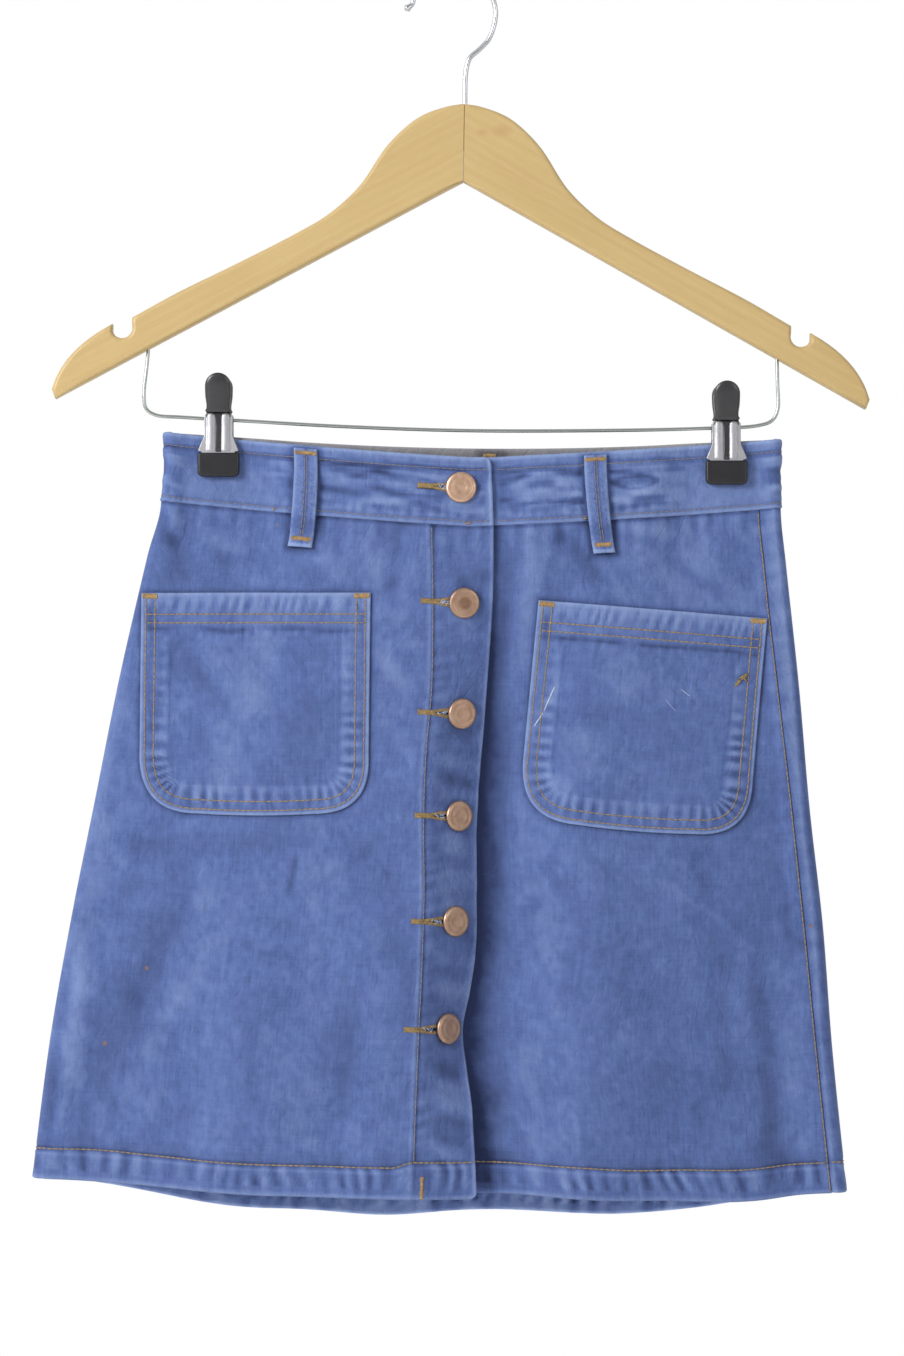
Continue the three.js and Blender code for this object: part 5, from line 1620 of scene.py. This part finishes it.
# Hanger
def arm_outline(hand):
    top = through([(0.05, 0)] + [(row["out"], -row["drop"]) for row in rows_of(ARM_TOP)], 8)
    angles = np.radians(mix(135, 395, np.linspace(0, 1, 19)[1:-1]))
    notch = np.stack(
        [NOTCH["out"] + NOTCH["radius"] * np.cos(angles), -NOTCH["drop"] + NOTCH["radius"] * np.sin(angles)], 1
    )
    after = (ARM_END["out"], -ARM_END["drop"])
    tip_out, tip_drop = ARM_END["tipOut"], ARM_END["tipDrop"]
    shoulder = bend_through(after, (tip_out - 6, -(tip_drop - 24)), (tip_out, -(tip_drop - 3)), 14)
    foot = ARM["foot"] - ARM["top"]
    out = np.concatenate([np.linspace(tip_out - 2, 90, 9), np.linspace(84, 0.05, 9)])
    low = np.stack([out, foot - ARM["slope"] * out], 1)
    ring = np.concatenate([top, notch, [after], shoulder, low])
    return np.stack([hand * ring[:, 0], ring[:, 1]], 1)


def build_arm(name, hand):
    slant = math.atan(ARM["slope"])

    def grain(points):
        out, drop = hand * points[:, 0], -points[:, 2]
        forth = out * math.cos(slant) + drop * math.sin(slant)
        across = drop * math.cos(slant) - out * math.sin(slant) + 0.6 * points[:, 1]
        return np.stack([forth, across + (0 if hand < 0 else 90)], 1) * MM

    def place(points):
        turned = points.copy()
        turned[:, 0] = points[:, 0] * math.cos(ARM["tilt"]) + points[:, 2] * math.sin(ARM["tilt"])
        turned[:, 2] = points[:, 2] * math.cos(ARM["tilt"]) - points[:, 0] * math.sin(ARM["tilt"])
        return turned + np.array([ARM["centre"], 0, ARM["top"]])

    arm = slab(f"{name}_wood", arm_outline(hand), ARM["thick"], ARM["round"], wood, place, grain, 5, 0.2)
    declare(arm, name)


def hook_route():
    """The hook's wire from its tip, round the rail and down into the wood."""
    points = [(-25.4, -19.2), (-22.4, -16.6)]
    for angle in np.radians(np.arange(155, -21, -17.5)):
        points.append((HOOK["radius"] * math.cos(angle), HOOK["radius"] * (math.sin(angle) - 1) + HOOK["wire"]))
    points += [(19.4, -36.4), (14.2, -41.9), (9.4, -46.2), (7.5, -51.5), (6.8, -58)]
    return points + [(HOOK["stem"], -72), (HOOK["stem"], HOOK["stemEnd"])]


def build_hanger():
    for name, hand in (("hanger_arm_left", -1), ("hanger_arm_right", 1)):
        build_arm(name, hand)
    route = through(in_plane(hook_route()), 9)
    from_tip = np.concatenate([[0], np.cumsum(np.linalg.norm(np.diff(route, axis=0), axis=1))])
    ball = 1 + 0.57 * bell(from_tip, 1.6)
    declare(tube("hook_wire", route, HOOK["wire"], 20, chrome, (0, 1, 0), ball), "hanger_hook")
    bar = through(in_plane(BAR_ROUTE), 9)
    declare(tube("bar_wire", bar, BAR["wire"], 14, bar_metal, (0, 1, 0)), "trouser_bar")


# Clips
CLIPS = table("name x z", ("clip_left", CLIP_X[0], CLIP_Z[0]), ("clip_right", CLIP_X[1], CLIP_Z[1]))
CLIP = {"top": 25, "capFoot": 3.8, "padTop": -18.4, "padFoot": -31.8, "sheet": 1, "padWidth": 23, "padThick": 4.8}
CAP_WIDTH = 14.4
GRIP = {"lip": 1.1, "waist": 0.7, "sides": 44, "square": 0.62}
PLATE_WIDTH = table(
    "v width", (-26.4, 18), (-18.1, 18), (-18.0, 22.6), (-9.5, 15.6), (1.8, 15.6), (3.8, 12.4), (21, 12.4)
)
LEG_LINE = table("v out", (-32, 6.3), (-14, 6.3), (-4, 4.8), (4, 4.8), (21, 8.6))
CHANNEL = {"wide": 6.6, "foot": 1.5, "shoulder": 0.95, "behind": 0.3, "thick": 0.5}
RIB = {"half": 2.3, "rise": 0.95, "centre": 4.0, "top": 3.4, "foot": -17.6}
SPRING = {"radius": 2.9, "wire": 0.8, "length": 8, "turns": 4}


def leg_out(z):
    beyond = 8.6 + (z - 21) * (8.6 - 4.8) / 17
    return np.where(z > 21, beyond, np.interp(z, LEG_LINE["v"].astype(float), LEG_LINE["out"].astype(float)))


def clip_place(clip, back):
    """Moves points of one half of a clip to the frame. The back half is the front one turned round."""
    def move(points):
        turned = points * np.array([-1, -1, 1]) if back else points
        return turned + np.array([clip["x"], 0, clip["z"]])
    return move


def build_leg(clip, label, back):
    move = clip_place(clip, back)
    zs = np.concatenate([np.linspace(21, 4.4, 12), np.linspace(3.8, CLIP["padTop"] + 0.3, 38), [-18.2, -22, -26.4]])
    half = np.interp(zs, PLATE_WIDTH["v"].astype(float), PLATE_WIDTH["width"].astype(float)) / 2
    i, z = np.meshgrid(np.linspace(-1, 1, 45), zs, indexing="ij")
    x = i * half[None, :]
    from_rib = np.abs(np.abs(x) - RIB["centre"])
    round_top = np.hypot(from_rib, np.maximum(z - RIB["top"] + RIB["half"], 0))
    within = np.clip(1 - (round_top / RIB["half"]) ** 2, 0, 1) * (z > RIB["foot"])
    rise = RIB["rise"] * np.sqrt(within)
    sheet = CLIP["sheet"] / 2

    def plate(name, x, z, front, back, material):
        outer, inner = (move(np.stack([x, y, z], -1)) for y in (front, back))
        return grid_shell(f"{clip['name']}_{name}", outer, inner, (material,) * 2, np.stack([x, z], -1) * MM, 0 * x)

    y = -leg_out(z)
    leg = plate(f"leg_{label}_plate", x, z, y - sheet - rise, y + sheet, clip_metal)
    declare(leg, f"{clip['name']}_leg_{label}")
    # The dark channel between the two ribs, and the dark strip behind their round tops: black sheets that stand for
    # painted shade and painted reflection on the chrome plate
    zs = np.concatenate([[3.6, 2.6, 1.6, 1.0, 0.9], np.linspace(0.2, CLIP["padTop"] + 0.2, 9)])
    wide = np.where(zs > CHANNEL["shoulder"], CHANNEL["wide"], CHANNEL["foot"])
    i, z = np.meshgrid(np.linspace(-1, 1, 9), zs, indexing="ij")
    y = -leg_out(z) - sheet - CHANNEL["behind"]
    channel = plate(f"channel_{label}", i * wide, z, y, y + CHANNEL["thick"], black_plastic)
    declare(channel, None)


def grip_levels():
    """Heights of the rings of a grip, with the share of its width and of its depth at each."""
    half, foot, top = CAP_WIDTH / 2, CLIP["capFoot"], CLIP["top"]
    lip, dome = np.linspace(0, math.pi / 2, 6), np.linspace(0, 0.49 * math.pi, 14)
    straight = np.linspace(foot + GRIP["lip"], top - half, 16)[1:-1]
    z = np.concatenate([foot - 0.3 + GRIP["lip"] * (1 - np.cos(lip)), straight, top - half + half * np.sin(dome)])
    lipped = 1 - GRIP["lip"] * (1 - np.sin(lip)) / half
    waist = 1 - GRIP["waist"] / half * bell(straight - 7, 4)
    width = np.concatenate([lipped, waist, np.cos(dome)])
    return z, width, np.concatenate([lipped ** 2, 0 * waist + 1, np.cos(dome) ** 0.6])


def build_grip(clip, label, back):
    """A sleeve of soft sections, thicker in the middle, with a round top."""
    move = clip_place(clip, back)
    near, far = -CLIP["sheet"] / 2 - 1.3, CLIP["sheet"] / 2 + 3.1
    turn = np.arange(GRIP["sides"]) * 2 * math.pi / GRIP["sides"]
    across = np.sign(np.cos(turn)) * np.abs(np.cos(turn)) ** GRIP["square"]
    deep = np.sign(np.sin(turn)) * np.abs(np.sin(turn)) ** GRIP["square"]
    rings = []
    for z, width, depth in zip(*grip_levels()):
        y = (far - near) / 2 * depth * deep - leg_out(z) - (near + far) / 2
        rings.append(np.stack([CAP_WIDTH / 2 * width * across, y, np.full(len(turn), z)], 1))
    points = move(np.concatenate(rings))
    name = f"{clip['name']}_grip_{label}"
    sleeve = small_mesh(f"{name}_sleeve", points, ring_faces(len(rings), len(turn)), [black_plastic])
    declare(sleeve, name)


def build_pad(clip, label, back):
    move = clip_place(clip, back)
    middle = (CLIP["padTop"] + CLIP["padFoot"]) / 2
    w, h = CLIP["padWidth"] / 2, (CLIP["padTop"] - CLIP["padFoot"]) / 2
    corners = []
    for cx, cz, radius, start in ((1, 1, 1.4, 0), (-1, 1, 1.4, 90), (-1, -1, 3, 180), (1, -1, 3, 270)):
        angles = np.radians(np.linspace(start, start + 90, 7))
        centre = np.array([cx * (w - radius), cz * (h - radius)])
        corners.append(centre + radius * np.stack([np.cos(angles), np.sin(angles)], 1))
    outline = np.concatenate(corners) + np.array([0, middle])
    near = PINCH["half"] + BAND_PROUD + GAP

    def place(points):
        shaped = points.copy()
        bulge = 0.35 * np.clip(1 - (points[:, 0] / w) ** 2, 0, 1)
        shaped[:, 1] = points[:, 1] - near - CLIP["padThick"] / 2 + np.where(points[:, 1] < 0, 0.35 - bulge, 0)
        return move(shaped)

    name = f"{clip['name']}_pad_{label}"
    declare(slab(f"{name}_rubber", outline, CLIP["padThick"], 1.3, rubber, place), name)


def build_clips():
    for clip in rows_of(CLIPS):
        for label, back in (("front", False), ("back", True)):
            build_leg(clip, label, back)
            build_grip(clip, label, back)
            build_pad(clip, label, back)
        s = np.linspace(0, 1, 97)
        angle = 2 * math.pi * SPRING["turns"] * s
        coil = np.stack(
            [SPRING["length"] * (s - 0.5), SPRING["radius"] * np.cos(angle), SPRING["radius"] * np.sin(angle)], 1
        )
        name, middle = f"{clip['name']}_spring", np.array([clip["x"], 0, clip["z"]])
        declare(tube(f"{name}_coil", coil + middle, SPRING["wire"], 10, chrome, (1, 0, 0)), name)


# Sewing
class Sewing:
    """Collects stitches of one thread and makes them one piece."""

    def __init__(self, name, material):
        self.name, self.material = name, material
        self.points, self.faces, self.count = [], [], 0
        self.random = np.random.default_rng(7)

    def add(self, centres, normals, radius, lift, dip):
        """centres and normals: stitches by places along each stitch."""
        tangent = unit(np.gradient(centres, axis=1))
        lateral = unit(np.cross(normals, tangent))
        places, sides = centres.shape[1], 6
        share = np.linspace(-1, 1, places)
        rise = lift - dip * np.abs(share) ** 3
        size = radius * np.sqrt(np.clip(1.12 - share ** 4, 0.1, 1))
        turn = np.arange(sides) * 2 * math.pi / sides
        outward = (rise[:, None] + size[:, None] * np.sin(turn))[None, ..., None]
        sideways = (size[:, None] * np.cos(turn))[None, ..., None]
        ring = centres[:, :, None] + normals[:, :, None] * outward + lateral[:, :, None] * sideways
        for stitch in ring:
            self.points.append(stitch.reshape(-1, 3))
            self.faces += ring_faces(places, sides, self.count)
            self.count += places * sides

    def along(self, points, normals, radius=STITCH["radius"], lift=0.16):
        """Stitches one after another along a line on the cloth."""
        run = np.concatenate([[0], np.cumsum(np.linalg.norm(np.diff(points, axis=0), axis=1))])
        count = int(run[-1] // STITCH["pitch"])
        middles = (np.arange(count) + 0.5) * run[-1] / count + self.random.uniform(-0.12, 0.12, count)
        spots = middles[:, None] + np.linspace(-0.5, 0.5, 5)[None, :] * STITCH["length"]
        centres = np.stack([np.interp(spots, run, points[:, k]) for k in range(3)], -1)
        facing = unit(np.stack([np.interp(spots, run, normals[:, k]) for k in range(3)], -1))
        self.add(centres, facing, radius, lift, 0.14)

    def bars(self, middles, directions, normals, length, radius=0.3, lift=0.25):
        """Short threads laid beside one another across a line."""
        wobble = self.random.uniform(-0.12, 0.12, len(middles))[:, None]
        reach = np.linspace(-0.5, 0.5, 4)[None, :, None] * np.broadcast_to(length, (len(middles),))[:, None, None]
        centres = (middles + directions * wobble)[:, None] + directions[:, None] * reach
        facing = np.broadcast_to(normals[:, None], centres.shape)
        self.add(centres, facing, radius, lift, 0.35)

    def finish(self):
        declare(small_mesh(self.name, np.concatenate(self.points), self.faces, [self.material]), None)


def line_on(form, t, v):
    """A line on a panel's face, with the face's directions."""
    return surface(form, *(np.array(a) for a in np.broadcast_arrays(np.asarray(t, float), np.asarray(v, float))))


def end_places(lengths, start, end, count, inset=1.4):
    first, last = along(lengths, start) + inset, along(lengths, end) - inset
    return place_at(lengths, np.linspace(first, last, count))


def tack(sewing, face, a0, b0, a1, b1, tall, radius=0.3):
    """A bartack between two places of a pattern."""
    size = math.hypot(a1 - a0, b1 - b0)
    count = max(int(size / 0.5), 3)
    s = np.linspace(0, 1, count)
    a, b = mix(a0, a1, s), mix(b0, b1, s)
    side = np.array([-(b1 - b0), a1 - a0]) / size
    points, normals = face(a, b)
    ahead, _ = face(a + side[0] * 0.3, b + side[1] * 0.3)
    sewing.bars(points, unit(ahead - points), normals, tall, radius)


# Ends of thread: X, Z, length and tilt
LOOSE_THREADS = table(
    "x z length tilt",
    (8, -301.5, 3.2, 0.2), (-98, -297, 1.8, 0.4), (72.2, -302, 2.2, 0.1), (155.4, -390, 5.5, 1.0),
    (156.2, -390, 4.5, 0.9), (159, -386.2, 6.5, 0.5), (159.4, -387, 5.5, 0.6), (159.6, -388, 3.6, -0.7),
)

# Pale scratches on the right pocket: from and to in X and Z
SCRATCHES = table(
    "x0 z0 x1 z1 radius",
    (45, -414, 50, -406, 0.34), (50, -406, 56.5, -391, 0.4), (124.2, -393.1, 129.9, -397.5, 0.14),
    (116.1, -399.1, 121.8, -405.6, 0.13),
)


PLACKET_STITCHES = 0.28
BAND_STITCHES = 0.22
HEM_STITCHES = 0.42
POCKET_STITCHES = 0.4


def sew_seams(brown, faded):
    left, seam, end = START["faced"], START["seamRight"], START["valley"]
    for form, start, stop in ((left_form, 0, end), (right_form, end, seam), (back_form, seam, ROUND)):
        places = end_places(HEM_LENGTHS, start, stop, 400)
        brown.along(*line_on(form, places, 1 - hem_line(places) / PANEL_LENGTH), HEM_STITCHES)
    down = np.linspace(0.004, 0.997, 500)
    faded.along(*line_on(left_form, left, down[down < 0.945]), PLACKET_STITCHES)
    brown.along(*line_on(back_form, ROUND - 1.6 / SIDE_SEAM_BACK, down))
    brown.along(*line_on(right_form, seam - 0.001 - 1.6 / 40, down))
    for depth in (BAND_STITCH_TOP, BAND_STITCH_FOOT):
        places = end_places(BAND_LENGTHS, end, ROUND + end, 900, 2.2)
        faded.along(*line_on(band_form, places, depth / BAND_HEIGHT - 1), BAND_STITCHES)


def sew_pocket(pocket, brown, orange):
    def face(a, b):
        return pocket_face(pocket, a, b)

    half = POCKET["width"] / 2
    for depth in (MOUTH["upper"], MOUTH["lower"]):
        a = np.linspace(-half + 3, half - 3, 200)
        brown.along(*face(a, 0 * a - depth), POCKET_STITCHES)
    ring = at_shares(pocket_sides(40), np.linspace(0, 1, 240))
    forth = unit(np.gradient(ring, axis=0))
    into = np.stack([-forth[:, 1], forth[:, 0]], 1)
    for depth in (POCKET_STITCH["outer"], POCKET_STITCH["inner"]):
        inset_ring = ring + into * depth
        inset_ring[0, 1] = inset_ring[-1, 1] = -2.0
        brown.along(*face(*at_shares(inset_ring, np.linspace(0, 1, 500)).T), POCKET_STITCHES)
    tack(orange, face, -half + 0.9, -1.7, -half + 8.6, -1.9, 3.1, 0.36)
    tack(orange, face, half - 8.8, -1.9, half - 1.0, -1.7, 3.1, 0.36)


def sew_loop(loop, faded, orange):
    def face(a, b):
        return loop_face(loop, -b / LOOP["length"], a / loop_half(loop, -b / LOOP["length"]))

    run = np.linspace(-1.5, -LOOP["length"] + 3.5, 120)
    for side in (-0.65, 0.65):
        faded.along(*face(0 * run + side, run), BAND_STITCHES)
    wide = loop["topWidth"] / 2 - 0.8
    tack(orange, face, -wide, -2.4, wide, -2.4, 2.6)
    wide = loop["footWidth"] / 2 - 1.6
    tack(orange, face, -wide, -LOOP["length"] + 4.8, wide, -LOOP["length"] + 4.6, 3.0)


def sew_loose_ends(gold, orange, white):
    """Short ends of thread left in the waistband's foot and on the right pocket, and the pale scratches."""
    for loose in rows_of(LOOSE_THREADS):
        x, z, on_pocket = np.array(loose["x"]), np.array(loose["z"]), loose["z"] < -308
        v = level_below(x, z) if on_pocket else np.array(-0.04)
        out = normal_at(front_wall, x, v)
        lift = POCKET_GAP + POCKET["thick"] + 0.5 if on_pocket else BAND_PROUD + 0.2
        heading = np.array([math.cos(loose["tilt"]), 0, math.sin(loose["tilt"])])
        heading = unit(heading - out * (heading @ out))
        middle = front_wall(x, v) + out * lift
        (gold if on_pocket else orange).bars(middle[None], heading[None], out[None], loose["length"], 0.5)
    pocket = rows_of(POCKETS)[1]
    for mark in rows_of(SCRATCHES):
        places = to_pocket(pocket, np.linspace(mark["x0"], mark["x1"], 16), np.linspace(mark["z0"], mark["z1"], 16))
        points, normals = pocket_face(pocket, *places)
        white.add(points[None], normals[None], mark["radius"], 0.05, mark["radius"])


def sew_hem_tack(orange):
    """The upright tack beside the hem of the doubled edge."""
    v = np.linspace(1 - 12.5 / PANEL_LENGTH, 1 - 1 / PANEL_LENGTH, 26)
    points, normals = line_on(left_form, START["faced"] + 0.55, v)
    ahead, _ = line_on(left_form, START["faced"] + 0.6, v)
    orange.bars(points, unit(ahead - points), normals, orange.random.uniform(1.7, 2.7, len(v)), 0.34)


def sew_hole(button, gold, white):
    """A buttonhole: two rows of short threads, closer together at its far end, and a few frayed ones."""
    _, across, up, _ = button_frame(button)
    on_band = button["v"] < 0
    form, lap = (band_form, ROUND) if on_band else (left_form, 0)
    reach = np.linspace(6.0, HOLE["length"] - 0.4, 38)
    seam, edge = read(OPENING, "seam", button["v"]), read(OPENING, "edge", button["v"])
    ts = button_place(button) + lap - reach * STEPS["faced"] / float(edge - seam)
    stitch_line = START["faced"] + lap
    single = seam - read(SECTIONS, "left", button["v"]) - read(SECTIONS, "fold", button["v"])
    wider = (edge - seam) / STEPS["faced"] * STEPS["frontLeft"] / single
    beyond = stitch_line + (ts - stitch_line) * float(wider)
    points, normals = line_on(form, np.where(ts < stitch_line, beyond, ts), button["v"])
    apart = mix(1.75, 0.55, np.clip((reach - 8.5) / 7, 0, 1))
    for hand in (-1, 1):
        lifted = points + up * (hand * apart)[:, None]
        gold.bars(lifted, np.broadcast_to(up, points.shape), normals, 2.0, 0.33, 0.3)
    ends = points[-1] + up * np.linspace(-1.3, 1.3, 6)[:, None]
    gold.bars(ends, np.broadcast_to(across, ends.shape), np.broadcast_to(normals[-1], ends.shape), 1.5, 0.3, 0.3)
    for _ in range(12):
        k = int(white.random.uniform(4, 15))
        tilt = white.random.uniform(-1.1, 1.1)
        heading = unit(across * math.cos(tilt) + up * math.sin(tilt))
        spot = points[k] + up * white.random.uniform(-1.2, 1.2)
        white.bars(spot[None], heading[None], normals[k][None], white.random.uniform(1.6, 3.6), 0.17, 0.55)


def sew_back_tack(orange):
    """The tack on the inner face of the back band."""
    x, v = np.linspace(17, 23.5, 14), np.full(14, -0.9)
    inward = normal_at(lambda a, b: wall_point(BACK, a, b), x, v)
    points = wall_point(BACK, x, v) + inward * (BAND_THICK - BAND_PROUD)
    orange.bars(points, np.tile([0.0, 0, 1], (14, 1)), inward, 2.8, 0.32, 0.2)


def sew():
    brown = Sewing("brown_stitches", thread)
    faded = Sewing("faded_stitches", faded_thread)
    orange = Sewing("orange_tacks", tack_thread)
    gold = Sewing("buttonhole_threads", hole_thread)
    white = Sewing("frayed_threads", fray_thread)
    sew_seams(brown, faded)
    for pocket in rows_of(POCKETS):
        sew_pocket(pocket, brown, orange)
    for loop in rows_of(BELT_LOOPS):
        sew_loop(loop, faded, orange)
    sew_loose_ends(gold, orange, white)
    sew_hem_tack(orange)
    for button in rows_of(BUTTONS):
        sew_hole(button, gold, white)
    sew_back_tack(orange)
    for sewing in (brown, faded, orange, gold, white):
        sewing.finish()


build_panels()
for one in rows_of(POCKETS):
    build_pocket(one)
for one in rows_of(BELT_LOOPS):
    build_loop(one)
build_buttons()
build_hanger()
build_clips()
sew()


# Camera, light and floor. Lights are in metres.
CAMERA = {"x": -0.55, "y": -2200, "z": -387.3, "frame": 745.8, "sensor": 36}
LIGHTS = table("name x y z size power", ("key", -1.7, -1.6, 0.5, 0.9, 62.0), ("fill", 1.6, -1.9, 0.2, 1.2, 12.0))
LIT = Vector((0, 0, -0.45))
FLOOR = {"z": -1000, "half": 2500, "back": 1100}


def build_stage():
    scene = bpy.context.scene
    data = bpy.data.cameras.new("camera")
    data.sensor_width = CAMERA["sensor"]
    data.lens = CAMERA["sensor"] * -CAMERA["y"] / CAMERA["frame"]
    camera = new_object("camera", data)
    camera.location = Vector((CAMERA["x"], CAMERA["y"], CAMERA["z"])) * MM
    camera.rotation_euler = (math.radians(90), 0, 0)
    scene.camera = camera
    scene.view_settings.view_transform = "Standard"
    world = bpy.data.worlds.new("studio")
    world.use_nodes = True
    nodes = Nodes(world.node_tree)
    direction = nodes.add("SeparateXYZ", Vector=nodes.add("TexCoord").outputs["Generated"]).outputs["Y"]
    background = nodes.tree.nodes["Background"]
    wall = nodes.blend(nodes.share(direction, -0.5, 0.2), (0.42, 0.42, 0.43), (1, 1, 1))
    nodes.put(wall, background.inputs["Color"])
    background.inputs["Strength"].default_value = 1.0
    scene.world = world
    for row in rows_of(LIGHTS):
        lamp = bpy.data.lights.new(row["name"], "AREA")
        lamp.size, lamp.energy = row["size"], row["power"]
        place = Vector((row["x"], row["y"], row["z"]))
        made = new_object(row["name"], lamp)
        made.location = place
        made.rotation_euler = (LIT - place).to_track_quat("-Z", "Y").to_euler()
    half, back, level = FLOOR["half"], FLOOR["back"], FLOOR["z"]
    corners = [(-half, -half, level), (half, -half, level), (half, back, level), (-half, back, level)]
    look = Look("pale_floor", Roughness=0.8)
    speckle = look.noise(look.place(), 6.0, 3, 0.5)
    look.put(look.blend(speckle, (0.8, 0.8, 0.79), (0.84, 0.84, 0.83)), look.shader.inputs["Base Color"])
    quad_mesh("floor", corners, [(0, 1, 2, 3)], [look.material])


build_stage()
